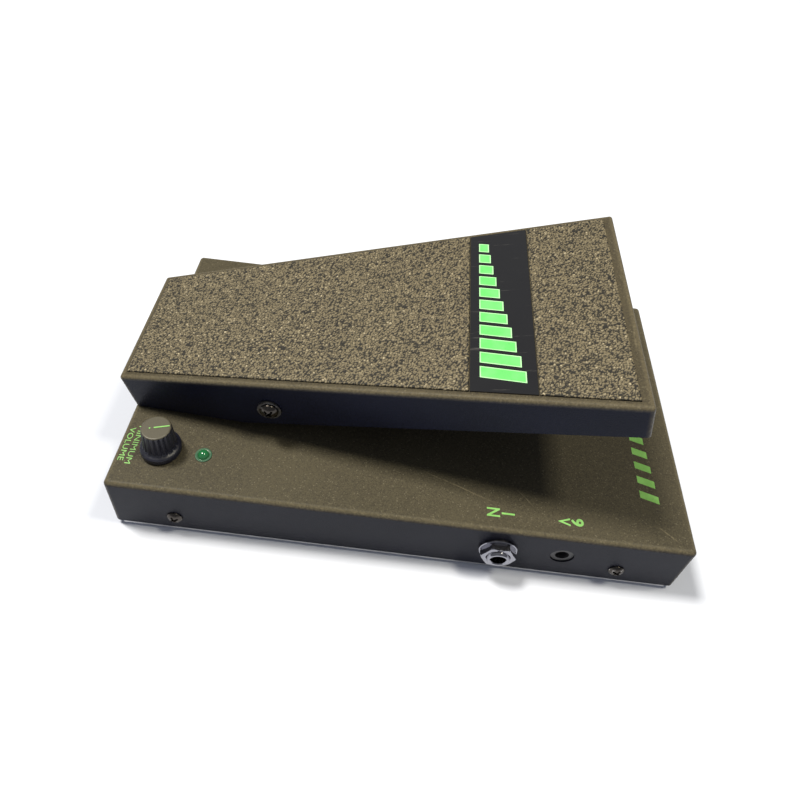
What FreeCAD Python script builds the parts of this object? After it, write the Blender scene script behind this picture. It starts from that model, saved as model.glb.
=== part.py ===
"""Volume pedal with an optical shutter, a minimum-volume knob and two quarter-inch jacks.

Frame: +X runs from the heel to the toe, +Y to the player's left, +Z up, and the origin is on the
ground under the middle of the pedal. The treadle is modelled level, in its own frame, with its top
sheet at height 0, and is then tilted into place with its heel down.
"""
import FreeCAD, Part
import math
import os

import Sketcher
from FreeCAD import Placement, Rotation, Vector

DIMENSIONS = {
    # Folded steel base: a cover with five faces over a flat bottom plate on four feet.
    "base_length": 241.3, "base_width": 146.05, "base_shift": 2.0,
    "cover_rise": 28.5, "cover_sheet": 1.2, "cover_bend": 2.0,
    "plate_sheet": 1.0, "plate_inset": 3.6, "plate_gap": 0.5, "foot_rise": 2.0, "foot_radius": 7.0,
    "foot_spread_x": 204.0, "foot_spread_y": 120.0,
    "lug_width": 14.0, "lug_rise": 12.0, "cover_screw_spread": 187.4, "cover_screw_rise": 8.2,
    "screw_head": 3.4, "screw_head_rise": 2.0, "screw_shank": 1.5, "screw_length": 8.0,
    # Treadle: a tapered tray of folded steel, its walls deepest at the knee under the pivot.
    "treadle_tilt": 13.1, "treadle_level": 79.1, "treadle_sheet": 1.5, "treadle_bend": 1.4,
    "heel_reach": 127.6, "toe_reach": 84.8, "heel_half": 32.75, "toe_half": 57.55,
    "heel_skirt": 18.8, "knee_skirt": 25.4, "toe_skirt": 16.3, "knee_reach": 78.0,
    # Grip mats and the label plate that lies between them.
    "mat_sheet": 1.2, "mat_inset": 3.1, "toe_rim": 4.5, "label_start": 20.2, "label_end": 45.2,
    "label_sheet": 0.6, "label_gap": 0.4,
    # Pivot: bracket, screws, bushes and the washers that hold the treadle by friction.
    "pivot_reach": 63.2, "pivot_drop": 14.5, "ear_outside": 31.0, "ear_sheet": 2.0,
    "ear_radius": 8.0, "bracket_half": 11.0, "pivot_shank": 2.0, "pivot_head": 3.9,
    "pivot_head_rise": 2.4, "bush_seat": 41.5, "bush_collar": 5.0, "bush_sleeve": 3.2,
    "running_gap": 0.05, "washer_sheet": 1.5, "nut_flat": 7.0, "nut_rise": 4.6,
    "rivet_radius": 1.6, "rivet_head": 3.2, "rivet_spread_x": 11.0, "rivet_spread_y": 40.0,
    # Optical shutter: a curved blade about the pivot that dips into the sensor housing.
    "blade_radius": 60.0, "blade_sheet": 2.0, "blade_width": 12.0, "blade_low": -34.3,
    "blade_high": 12.6, "blade_foot": 20.0, "slot_start": -3.0, "slot_end": 4.2, "slot_width": 16.0,
    "housing_start": -19.3, "housing_end": 6.7, "housing_width": 28.0, "housing_rise": 19.6,
    # Rubber stops for the heel and the toe.
    "heel_stop_place": -98.0, "heel_stop_rise": 20.0, "heel_stop_radius": 7.0,
    "toe_stop_place": 91.0, "toe_stop_rise": 5.3, "toe_stop_radius": 9.0,
    # Minimum-volume control.
    "knob_place_x": -100.2, "knob_place_y": -53.7, "knob_turn": 17.0, "knob_gap": 0.8,
    "skirt_radius": 8.5, "skirt_rise": 3.0, "grip_radius": 6.6, "knob_rise": 14.4,
    "flute_count": 18, "flute_radius": 0.75, "pot_radius": 8.0, "pot_rise": 8.0,
    "thread_radius": 3.5, "shaft_radius": 3.0, "pot_nut_flat": 10.0, "pot_nut_rise": 2.0,
    # Status lamp.
    "lamp_place_x": -82.3, "lamp_place_y": -54.2, "lamp_radius": 2.5, "bezel_radius": 3.3,
    # Quarter-inch jacks, one in each long side, and the power jack beside the input.
    "jack_place": 44.5, "jack_rise": 14.25, "plug_radius": 3.2, "jack_thread": 4.75,
    "jack_washer": 8.0, "jack_washer_sheet": 1.3, "jack_nut_flat": 13.0, "jack_nut_rise": 3.0,
    "jack_proud": 5.4,
    "jack_body_width": 22.0, "jack_body_rise": 18.0, "jack_body_depth": 26.0,
    "power_place": 71.3, "power_barrel": 4.75, "power_bore": 2.85, "power_pin": 1.05,
    "power_width": 14.0, "power_rise": 12.0, "power_depth": 13.0,
    # Circuit board and battery.
    "board_start": -32.0, "board_end": 56.0, "board_width": 64.0, "board_sheet": 1.6,
    "standoff_rise": 5.0, "standoff_radius": 2.5, "board_margin": 4.0,
    "battery_start": 67.0, "battery_side": 20.0, "battery_length": 48.5, "battery_width": 26.5,
    "battery_rise": 17.5, "battery_floor": 5.6, "door_gap": 0.4, "door_sheet": 1.6,
    "door_margin": 3.0, "wire_radius": 0.7,
}

doc = FreeCAD.newDocument("volume_pedal")
sizes = doc.addObject("Spreadsheet::Sheet", "sizes")
for row, (alias, number) in enumerate(DIMENSIONS.items(), start=1):
    sizes.set(f"A{row}", alias)
    sizes.set(f"B{row}", str(number))
    sizes.setAlias(f"B{row}", alias)
doc.recompute()

# Levels and lines that several pieces share, as expressions on the sheet.
COVER_FOOT = "(sizes.foot_rise + sizes.plate_sheet)"
BASE_TOP = f"({COVER_FOOT} + sizes.cover_rise)"
CEILING = f"({BASE_TOP} - sizes.cover_sheet)"
SIDE = "(sizes.base_width / 2)"
INNER_SIDE = f"({SIDE} - sizes.cover_sheet)"
JACK_LEVEL = f"({COVER_FOOT} + sizes.jack_rise)"
BOARD_FLOOR = f"({COVER_FOOT} + sizes.standoff_rise)"
BOARD_TOP = f"({BOARD_FLOOR} + sizes.board_sheet)"
PIVOT_X = ("(sizes.base_shift - sizes.pivot_reach * cos(sizes.treadle_tilt * 1deg)"
           " + sizes.pivot_drop * sin(sizes.treadle_tilt * 1deg))")
PIVOT_Z = ("(sizes.treadle_level - sizes.pivot_reach * sin(sizes.treadle_tilt * 1deg)"
           " - sizes.pivot_drop * cos(sizes.treadle_tilt * 1deg))")
TREADLE_PLACE = ("placement(vector(sizes.base_shift; 0; sizes.treadle_level);"
                 " rotation(vector(0; 1; 0); -sizes.treadle_tilt))")

# Turns that lay an upright primitive along another axis.
ALONG_X = Rotation(Vector(0, 1, 0), 90)
ALONG_MINUS_X = Rotation(Vector(0, 1, 0), -90)
ALONG_Y = Rotation(Vector(1, 0, 0), -90)
ALONG_MINUS_Y = Rotation(Vector(1, 0, 0), 90)
DOWNWARD = Rotation(Vector(1, 0, 0), 180)

nodes = []


def node(piece, label):
    """Name a finished piece after its node and list it for export."""
    piece.Label = label
    nodes.append(piece)
    return piece


def value(expression):
    """The number that an expression on the sheet gives."""
    return float(sizes.evalExpression(expression))


def bind(piece, **expressions):
    """Bind properties of a piece to expressions on the sheet."""
    for name, expression in expressions.items():
        piece.setExpression(name, expression)
    return piece


def place(piece, across="0", along="0", up="0", turn=None):
    """Put a piece at a place that the sheet gives, turned if need be."""
    if turn is not None:
        piece.Placement = Placement(Vector(0, 0, 0), turn)
    piece.setExpression("Placement.Base.x", across)
    piece.setExpression("Placement.Base.y", along)
    piece.setExpression("Placement.Base.z", up)
    return piece


# Sketched features.

def new_body(label):
    """A body for one piece made from sketches."""
    return node(doc.addObject("PartDesign::Body", label), label)


def sketch(body, plane, level="0"):
    """A sketch on one of the body's origin planes, moved out along the plane's normal."""
    flat = body.newObject("Sketcher::SketchObject", f"{body.Name}_sketch")
    support = next(each for each in body.Origin.OriginFeatures if each.Role == plane)
    flat.AttachmentSupport = [(support, "")]
    flat.MapMode = "FlatFace"
    flat.setExpression("AttachmentOffset.Base.z", level)
    return flat


def dimension(flat, kind, index, point, number, expression):
    """A distance from the sketch's origin to a point, bound to the sheet."""
    constraint = flat.addConstraint(Sketcher.Constraint(kind, -1, 1, index, point, number))
    flat.setExpression(f"Constraints[{constraint}]", expression)


def outline(flat, corners):
    """A closed outline of straight lines whose corners are pairs of expressions."""
    points = [Vector(value(across), value(up), 0) for across, up in corners]
    first = flat.GeometryCount
    count = len(points)
    for index in range(count):
        flat.addGeometry(Part.LineSegment(points[index], points[(index + 1) % count]), False)
    for index, (across, up) in enumerate(corners):
        following = first + (index + 1) % count
        flat.addConstraint(Sketcher.Constraint("Coincident", first + index, 2, following, 1))
        dimension(flat, "DistanceX", first + index, 1, points[index].x, across)
        dimension(flat, "DistanceY", first + index, 1, points[index].y, up)
    return flat


def rectangle(flat, left, low, right, high):
    """An upright rectangle between two corners."""
    return outline(flat, [(left, low), (right, low), (right, high), (left, high)])


def circle(flat, across, up, radius):
    """A full circle."""
    middle = Vector(value(across), value(up), 0)
    index = flat.addGeometry(Part.Circle(middle, Vector(0, 0, 1), value(radius)), False)
    dimension(flat, "DistanceX", index, 3, middle.x, across)
    dimension(flat, "DistanceY", index, 3, middle.y, up)
    constraint = flat.addConstraint(Sketcher.Constraint("Radius", index, value(radius)))
    flat.setExpression(f"Constraints[{constraint}]", radius)
    return flat


def pad(body, flat, length, **settings):
    """Raise a sketch into a solid."""
    feature = body.newObject("PartDesign::Pad", f"{body.Name}_pad")
    feature.Profile = flat
    feature.setExpression("Length", length)
    for name, setting in settings.items():
        setattr(feature, name, setting)
    doc.recompute()
    return feature


def pocket(body, flat, length="1", **settings):
    """Cut a sketch out of the body, and make sure that it takes something away."""
    before = body.Shape.Volume
    feature = body.newObject("PartDesign::Pocket", f"{body.Name}_pocket")
    feature.Profile = flat
    feature.setExpression("Length", length)
    for name, setting in settings.items():
        setattr(feature, name, setting)
    doc.recompute()
    if not body.Shape.Volume < before - 1e-3:
        raise RuntimeError(f"a pocket of {body.Label} cuts nothing")
    return feature


def round_edges(body, base, wanted, radius):
    """Fillet the edges of a feature that a test picks out."""
    names = [f"Edge{index}" for index, edge in enumerate(base.Shape.Edges, start=1) if wanted(edge)]
    feature = body.newObject("PartDesign::Fillet", f"{body.Name}_fillet")
    feature.Base = (base, names)
    feature.setExpression("Radius", radius)
    doc.recompute()
    return feature


def is_upright(edge):
    """Whether an edge is a straight line along Z."""
    start, end = edge.Vertexes[0].Point, edge.Vertexes[-1].Point
    return abs(start.z - end.z) > 1 and math.hypot(start.x - end.x, start.y - end.y) < 1e-6


def lies_at(level):
    """A test for edges that lie flat at a level."""
    return lambda edge: all(abs(vertex.Z - level) < 1e-6 for vertex in edge.Vertexes)


# Primitives and booleans.

def box(name, start, side, floor, length, width, rise):
    """A block from its lowest corner."""
    piece = bind(doc.addObject("Part::Box", name), Length=length, Width=width, Height=rise)
    return place(piece, start, side, floor)


def centred_box(name, middle, side, floor, length, width, rise):
    """A block centred in plan on a point, standing on a floor."""
    return box(name, f"{middle} - ({length}) / 2", f"{side} - ({width}) / 2", floor, length, width, rise)


def rod(name, radius, length, across, along, up, turn=None):
    """A cylinder that starts at a point."""
    piece = bind(doc.addObject("Part::Cylinder", name), Radius=radius, Height=length)
    return place(piece, across, along, up, turn)


def cone(name, low_radius, high_radius, length, across, along, up, turn=None):
    """A truncated cone that starts at a point."""
    piece = bind(doc.addObject("Part::Cone", name), Radius1=low_radius, Radius2=high_radius, Height=length)
    return place(piece, across, along, up, turn)


def hexagon(name, flat_width, length, across, along, up, turn=None):
    """A hexagonal prism of a width across its flats."""
    piece = doc.addObject("Part::Prism", name)
    piece.Polygon = 6
    bind(piece, Circumradius=f"{flat_width} / 2 / cos(30deg)", Height=length)
    return place(piece, across, along, up, turn)


def fused(name, members):
    """One solid from several."""
    piece = doc.addObject("Part::MultiFuse", name)
    piece.Shapes = members
    piece.Refine = True
    return piece


def cut(name, base, tools):
    """A solid with others taken out of it."""
    piece = doc.addObject("Part::Cut", name)
    piece.Base = base
    piece.Tool = tools[0] if len(tools) == 1 else fused(f"{name}_tools", tools)
    return piece


def common(name, members):
    """The solid that several share."""
    piece = doc.addObject("Part::MultiCommon", name)
    piece.Shapes = members
    return piece


def mirrored(source, name):
    """The same piece on the other side of the pedal."""
    piece = doc.addObject("Part::Mirroring", name)
    piece.Source = source
    piece.Base = Vector(0, 0, 0)
    piece.Normal = Vector(0, 1, 0)
    return piece


def group(label, members):
    """Like pieces that share a node."""
    piece = doc.addObject("Part::Compound", label)
    piece.Links = members
    return node(piece, label)


def pan_screw(name, radius, rise, shank, length, across, along, up, turn):
    """A pan-head screw with a cross recess; its seat is at the point and its head points away."""
    dome_radius = f"({radius} * {radius} + {rise} * {rise}) / (2 * {rise}) * 1.15"
    blank = rod(f"{name}_blank", radius, rise, "0", "0", "0")
    dome = bind(doc.addObject("Part::Sphere", f"{name}_dome"), Radius=dome_radius)
    place(dome, up=f"{rise} - {dome_radius}")
    head = common(f"{name}_head", [blank, dome])
    recess = []
    for index, angle in enumerate((45, 135)):
        bar = doc.addObject("Part::Box", f"{name}_bar_{index}")
        bind(bar, Length=f"{radius} * 1.2", Width=f"{radius} * 0.26", Height=rise)
        bar.Placement = Placement(Vector(), Rotation(Vector(0, 0, 1), angle)).multiply(
            Placement(Vector(-value(radius) * 0.6, -value(radius) * 0.13, value(rise) * 0.4), Rotation()))
        recess.append(bar)
    shaft = rod(f"{name}_shaft", shank, length, "0", "0", f"-({length})")
    slotted = cut(f"{name}_slotted", head, recess)
    return place(fused(name, [slotted, shaft]), across, along, up, turn)


def rivet(name, radius, head_radius, length, across, along, up, turn=None):
    """A domed rivet with its head's seat at the point and its shank going the other way."""
    head_rise = f"{head_radius} * 0.45"
    blank = rod(f"{name}_blank", head_radius, head_rise, "0", "0", "0")
    dome = bind(doc.addObject("Part::Sphere", f"{name}_dome"), Radius=f"{head_radius} * 1.35")
    place(dome, up=f"{head_rise} - {head_radius} * 1.35")
    head = common(f"{name}_head", [blank, dome])
    shaft = rod(f"{name}_shaft", radius, length, "0", "0", f"-({length})")
    return place(fused(name, [head, shaft]), across, along, up, turn)


def wire(name, route):
    """A round wire along straight runs joined by tangent arcs, through a list of points."""
    points = [Vector(*[value(each) for each in point]) for point in route]
    edges = []
    start = points[0]
    for before, corner, after in zip(points, points[1:], points[2:]):
        arrive = (corner - before).normalize()
        leave = (after - corner).normalize()
        reach = 0.45 * min(corner.distanceToPoint(before), after.distanceToPoint(corner))
        enter, out = corner - arrive * reach, corner + leave * reach
        edges.append(Part.LineSegment(start, enter).toShape())
        radius = reach / math.tan(arrive.getAngle(leave) / 2)
        inward = (leave - arrive).normalize()
        centre = corner + inward * math.hypot(radius, reach)
        middle = centre - inward * radius
        edges.append(Part.Arc(enter, middle, out).toShape())
        start = out
    edges.append(Part.LineSegment(start, points[-1]).toShape())
    path = Part.Wire(edges)
    section = Part.makeCircle(value("sizes.wire_radius"), points[0], points[1] - points[0])
    piece = doc.addObject("Part::Feature", name)
    piece.Shape = path.makePipeShell([Part.Wire([section])], True, False)
    return piece


# Base: cover, bottom plate, feet and the screws that join them.

def base_cover():
    """The painted cover: five faces folded from one sheet, open below."""
    body = new_body("base_cover")
    half = "(sizes.base_length / 2)"
    start, end = f"(sizes.base_shift - {half})", f"(sizes.base_shift + {half})"
    flat = rectangle(sketch(body, "XY_Plane", COVER_FOOT), start, f"-{SIDE}", end, SIDE)
    block = pad(body, flat, "sizes.cover_rise")
    at_top = lies_at(value(BASE_TOP))
    round_edges(body, block, lambda edge: is_upright(edge) or at_top(edge), "sizes.cover_bend")
    flat = rectangle(sketch(body, "XY_Plane", COVER_FOOT), f"{start} + sizes.cover_sheet",
                     f"-{INNER_SIDE}", f"{end} - sizes.cover_sheet", INNER_SIDE)
    pocket(body, flat, "sizes.cover_rise - sizes.cover_sheet", Reversed=True)
    # Openings in the top: control, lamp, shutter slot, bracket rivets and the heel stop's screw.
    flat = sketch(body, "XY_Plane", BASE_TOP)
    circle(flat, "sizes.knob_place_x", "sizes.knob_place_y", "sizes.thread_radius")
    circle(flat, "sizes.lamp_place_x", "sizes.lamp_place_y", "sizes.lamp_radius + 0.6")
    circle(flat, "sizes.heel_stop_place", "0", "sizes.rivet_radius")
    rectangle(flat, "sizes.slot_start", "-sizes.slot_width / 2", "sizes.slot_end", "sizes.slot_width / 2")
    for across, along in rivet_places():
        circle(flat, across, along, "sizes.rivet_radius")
    pocket(body, flat, "sizes.cover_sheet * 2")
    # Openings in both long sides: cover screws and quarter-inch jacks.
    flat = sketch(body, "XZ_Plane", f"-{SIDE}")
    for across in cover_screw_places():
        circle(flat, across, f"{COVER_FOOT} + sizes.cover_screw_rise", "sizes.screw_shank + 0.2")
    circle(flat, "sizes.jack_place", JACK_LEVEL, "sizes.jack_thread")
    pocket(body, flat, "sizes.base_width", Reversed=True)
    # The power jack's opening, in the right side only.
    flat = sketch(body, "XZ_Plane", SIDE)
    circle(flat, "sizes.power_place", JACK_LEVEL, "sizes.power_barrel + 0.2")
    pocket(body, flat, "sizes.cover_sheet * 2")


def rivet_places():
    """Where the four rivets hold the pivot bracket."""
    return [(f"{PIVOT_X} {x} sizes.rivet_spread_x / 2", f"{y} sizes.rivet_spread_y / 2")
            for x in "-+" for y in ("-", "0 +")]


def cover_screw_places():
    """Where the cover screws stand along each long side."""
    return [f"sizes.base_shift {sign} sizes.cover_screw_spread / 2" for sign in "-+"]


def bottom_plate():
    """The bare steel bottom plate, with four lugs bent up inside the cover."""
    body = new_body("bottom_plate")
    half = "(sizes.base_length / 2 - sizes.plate_inset)"
    flat = rectangle(sketch(body, "XY_Plane", "sizes.foot_rise"), f"sizes.base_shift - {half}", f"-{SIDE}",
                     f"sizes.base_shift + {half}", SIDE)
    pad(body, flat, "sizes.plate_sheet")
    # Between the cover's end walls the plate runs on, a little clear of them.
    reach, side = "(sizes.base_length / 2 - sizes.cover_sheet - sizes.plate_gap)", f"({INNER_SIDE} - 2)"
    flat = rectangle(sketch(body, "XY_Plane", "sizes.foot_rise"), f"sizes.base_shift - {reach}", f"-{side}",
                     f"sizes.base_shift + {reach}", side)
    pad(body, flat, "sizes.plate_sheet")
    flat = sketch(body, "XY_Plane", COVER_FOOT)
    for across in cover_screw_places():
        left, right = f"{across} - sizes.lug_width / 2", f"{across} + sizes.lug_width / 2"
        rectangle(flat, left, f"-{INNER_SIDE}", right, f"-{INNER_SIDE} + sizes.cover_sheet")
        rectangle(flat, left, f"{INNER_SIDE} - sizes.cover_sheet", right, INNER_SIDE)
    pad(body, flat, "sizes.lug_rise")
    flat = sketch(body, "XZ_Plane", f"-{SIDE}")
    for across in cover_screw_places():
        circle(flat, across, f"{COVER_FOOT} + sizes.cover_screw_rise", "sizes.screw_shank")
    pocket(body, flat, "sizes.base_width", Reversed=True)
    flat = sketch(body, "XY_Plane", COVER_FOOT)
    rectangle(flat, *door_edges("sizes.door_gap"))
    pocket(body, flat, "sizes.plate_sheet * 2")


def door_edges(spare="0"):
    """The battery door's edges in plan, with spare room all round."""
    margin = f"(sizes.door_margin + {spare})"
    return (f"sizes.battery_start - {margin}", f"sizes.battery_side - {margin}",
            f"sizes.battery_start + sizes.battery_length + {margin}",
            f"sizes.battery_side + sizes.battery_width + {margin}")


def rubber_feet():
    """Four rubber feet stuck under the bottom plate."""
    feet = []
    for x in "-+":
        for y in ("-", "0 +"):
            feet.append(cone(f"foot_{len(feet)}", "sizes.foot_radius - 0.8", "sizes.foot_radius",
                             "sizes.foot_rise", f"sizes.base_shift {x} sizes.foot_spread_x / 2",
                             f"{y} sizes.foot_spread_y / 2", "0"))
    group("rubber_feet", feet)


def cover_screws():
    """Four pan-head screws through the cover's sides into the plate's lugs."""
    screws = []
    for across in cover_screw_places():
        near = pan_screw(f"cover_screw_{len(screws)}", "sizes.screw_head", "sizes.screw_head_rise",
                         "sizes.screw_shank", "sizes.screw_length", across, f"-{SIDE}",
                         f"{COVER_FOOT} + sizes.cover_screw_rise", ALONG_MINUS_Y)
        screws += [near, mirrored(near, f"{near.Name}_left")]
    group("cover_screws", screws)


# Treadle: a tray, two mats and a label plate, modelled level and then tilted.

def half_width(reach):
    """Half of the treadle's width at a distance toward the toe."""
    slope = "(sizes.toe_half - sizes.heel_half) / (sizes.heel_reach + sizes.toe_reach)"
    return f"(sizes.heel_half + ({reach} + sizes.heel_reach) * {slope})"


def taper(flat, start, end, inset="0"):
    """The treadle's tapered outline between two lines across it, drawn in from its sides."""
    low, high = f"({half_width(start)} - {inset})", f"({half_width(end)} - {inset})"
    return outline(flat, [(start, f"-{low}"), (end, f"-{high}"), (end, high), (start, low)])


def treadle_shell():
    """The painted treadle: a tapered tray with sides that reach down to the pivot."""
    body = new_body("treadle_shell")
    heel, toe = "-sizes.heel_reach", "sizes.toe_reach"
    block = pad(body, taper(sketch(body, "XY_Plane"), heel, toe), "sizes.knee_skirt", Reversed=True)
    at_top = lies_at(0)
    round_edges(body, block, lambda edge: is_upright(edge) or at_top(edge), "sizes.treadle_bend")
    # Walls are one sheet thick, measured square to the tapered sides.
    slant = "sqrt(1 + ((sizes.toe_half - sizes.heel_half) / (sizes.heel_reach + sizes.toe_reach)) ^ 2)"
    flat = sketch(body, "XY_Plane", "-sizes.treadle_sheet")
    taper(flat, f"{heel} + sizes.treadle_sheet", f"{toe} - sizes.treadle_sheet", f"sizes.treadle_sheet * {slant}")
    pocket(body, flat, "sizes.knee_skirt")
    # The sides run straight from the heel down to the knee, and back up to the toe.
    flat = outline(sketch(body, "XZ_Plane", "-sizes.toe_half * 2"), [
        (f"{heel} - 5", "-sizes.heel_skirt"), (heel, "-sizes.heel_skirt"),
        ("-sizes.knee_reach", "-sizes.knee_skirt"), (toe, "-sizes.toe_skirt"),
        (f"{toe} + 5", "-sizes.toe_skirt"), (f"{toe} + 5", "-sizes.knee_skirt - 5"),
        (f"{heel} - 5", "-sizes.knee_skirt - 5")])
    pocket(body, flat, "sizes.toe_half * 4", Reversed=True)
    # Holes for the pivot bushes, in both sides, and for the shutter's rivets, in the top.
    flat = circle(sketch(body, "XZ_Plane", "-sizes.toe_half * 2"), "-sizes.pivot_reach",
                  "-sizes.pivot_drop", "sizes.bush_sleeve")
    pocket(body, flat, "sizes.toe_half * 4", Reversed=True)
    flat = sketch(body, "XY_Plane")
    for side in ("-", "0 +"):
        circle(flat, BLADE_TOP, f"{side} sizes.blade_width / 2", "sizes.rivet_radius")
    pocket(body, flat, "sizes.treadle_sheet * 2")
    return bind(body, Placement=TREADLE_PLACE)


BLADE_TOP = "(-sizes.pivot_reach + sizes.blade_radius * cos(sizes.blade_high * 1deg) + 7)"


def grip_mats():
    """Two pebbled rubber mats stuck on the treadle, and the label plate between them."""
    pieces = (("heel_grip_mat", "-sizes.heel_reach + sizes.mat_inset", "sizes.label_start - sizes.label_gap",
               "sizes.mat_sheet"),
              ("toe_grip_mat", "sizes.label_end + sizes.label_gap", "sizes.toe_reach - sizes.toe_rim",
               "sizes.mat_sheet"),
              ("label_plate", "sizes.label_start", "sizes.label_end", "sizes.label_sheet"))
    for name, start, end, sheet in pieces:
        body = new_body(name)
        pad(body, taper(sketch(body, "XY_Plane"), start, end, "sizes.mat_inset"), sheet)
        bind(body, Placement=TREADLE_PLACE)


# Pivot: the bracket, and on each side a screw, a bush, a friction washer and a locking nut.

def pivot_bracket():
    """A steel channel riveted on the cover, whose two ears carry the treadle."""
    body = new_body("pivot_bracket")
    foot, shoulder = "sizes.bracket_half", f"{BASE_TOP} + 4"
    flat = outline(sketch(body, "XZ_Plane", "-sizes.ear_outside"), [
        (f"{PIVOT_X} - {foot}", BASE_TOP), (f"{PIVOT_X} + {foot}", BASE_TOP),
        (f"{PIVOT_X} + {foot}", shoulder), (f"{PIVOT_X} + sizes.ear_radius", PIVOT_Z),
        (f"{PIVOT_X} - sizes.ear_radius", PIVOT_Z), (f"{PIVOT_X} - {foot}", shoulder)])
    pad(body, flat, "sizes.ear_outside * 2")
    flat = circle(sketch(body, "XZ_Plane", "-sizes.ear_outside"), PIVOT_X, PIVOT_Z, "sizes.ear_radius")
    pad(body, flat, "sizes.ear_outside * 2")
    inside = "(sizes.ear_outside - sizes.ear_sheet)"
    flat = rectangle(sketch(body, "YZ_Plane", f"{PIVOT_X} + {foot} + 5"), f"-{inside}",
                     f"{BASE_TOP} + sizes.ear_sheet", inside, f"{PIVOT_Z} + sizes.ear_radius + 5")
    pocket(body, flat, f"({foot} + 5) * 2")
    flat = circle(sketch(body, "XZ_Plane", "-sizes.ear_outside"), PIVOT_X, PIVOT_Z, "sizes.pivot_shank + 0.1")
    pocket(body, flat, "sizes.ear_outside * 2", Reversed=True)
    flat = sketch(body, "XY_Plane", f"{BASE_TOP} + sizes.ear_sheet")
    for across, along in rivet_places():
        circle(flat, across, along, "sizes.rivet_radius")
    pocket(body, flat, "sizes.ear_sheet * 2")


def bracket_rivets():
    """Four rivets through the bracket's foot and the cover, closed underneath."""
    rivets = []
    for across, along in rivet_places():
        name = f"bracket_rivet_{len(rivets)}"
        upper = rivet(f"{name}_upper", "sizes.rivet_radius", "sizes.rivet_head",
                      "sizes.ear_sheet + sizes.cover_sheet", across, along, f"{BASE_TOP} + sizes.ear_sheet")
        lower = rod(f"{name}_lower", "sizes.rivet_head * 0.8", "0.8", across, along, f"{CEILING} - 0.8")
        rivets.append(fused(name, [upper, lower]))
    group("bracket_rivets", rivets)


def pivot_fixings():
    """The screws, locking nuts and friction washers on the bracket's two ears."""
    reach = "(sizes.bush_seat + 0.15)"
    length = f"({reach} - sizes.ear_outside + sizes.ear_sheet + sizes.nut_rise + 0.6)"
    screw = pan_screw("pivot_screw", "sizes.pivot_head", "sizes.pivot_head_rise", "sizes.pivot_shank",
                      length, PIVOT_X, f"-{reach}", PIVOT_Z, ALONG_MINUS_Y)
    group("pivot_screws", [screw, mirrored(screw, "pivot_screw_left")])
    inside = "(sizes.ear_outside - sizes.ear_sheet)"
    blank = hexagon("nut_blank", "sizes.nut_flat", "sizes.nut_rise", PIVOT_X, f"-{inside}", PIVOT_Z, ALONG_Y)
    bore = rod("nut_bore", "sizes.pivot_shank", "sizes.nut_rise", PIVOT_X, f"-{inside}", PIVOT_Z, ALONG_Y)
    nut = cut("pivot_nut", blank, [bore])
    group("pivot_nuts", [nut, mirrored(nut, "pivot_nut_left")])
    disc = rod("washer_disc", "sizes.bush_collar", "sizes.washer_sheet", PIVOT_X, "-sizes.ear_outside",
               PIVOT_Z, ALONG_MINUS_Y)
    eye = rod("washer_eye", "sizes.pivot_shank", "sizes.washer_sheet", PIVOT_X, "-sizes.ear_outside",
              PIVOT_Z, ALONG_MINUS_Y)
    washer = cut("friction_washer", disc, [eye])
    group("friction_washers", [washer, mirrored(washer, "friction_washer_left")])


def pivot_bushes():
    """Nylon bushes in the treadle's sides, with collars that take up the sides' taper."""
    flat_body = doc.addObject("PartDesign::Body", "treadle_solid")
    drawing = sketch(flat_body, "XY_Plane", "-sizes.knee_skirt * 1.5")
    pad(flat_body, taper(drawing, "-sizes.heel_reach", "sizes.toe_reach"), "sizes.knee_skirt * 3")
    inner = "(sizes.ear_outside + sizes.washer_sheet + 0.1)"
    at = ("-sizes.pivot_reach", f"-{inner}", "-sizes.pivot_drop", ALONG_MINUS_Y)
    collar = rod("bush_collar_blank", "sizes.bush_collar", f"sizes.bush_seat - {inner}", *at)
    wedge = cut("bush_collar", collar, [flat_body])
    sleeve = rod("bush_sleeve", "sizes.bush_sleeve", f"sizes.bush_seat - {inner}", *at)
    bore = rod("bush_bore", "sizes.pivot_shank + sizes.running_gap", f"sizes.bush_seat - {inner}", *at)
    bush = cut("pivot_bush", fused("bush_blank", [wedge, sleeve]), [bore])
    bind(group("pivot_bushes", [bush, mirrored(bush, "pivot_bush_left")]), Placement=TREADLE_PLACE)


# Optical shutter and the sensor that it shades.

def sector(name, radius):
    """A slice of a disc about the pivot, as wide as the blade's sweep."""
    piece = bind(doc.addObject("Part::Cylinder", name), Radius=radius, Height="sizes.blade_width",
                 Angle="sizes.blade_high - sizes.blade_low")
    turn = Rotation(Vector(0, 1, 0), -value("sizes.blade_low")).multiply(ALONG_MINUS_Y)
    return place(piece, "-sizes.pivot_reach", "sizes.blade_width / 2", "-sizes.pivot_drop", turn)


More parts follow.
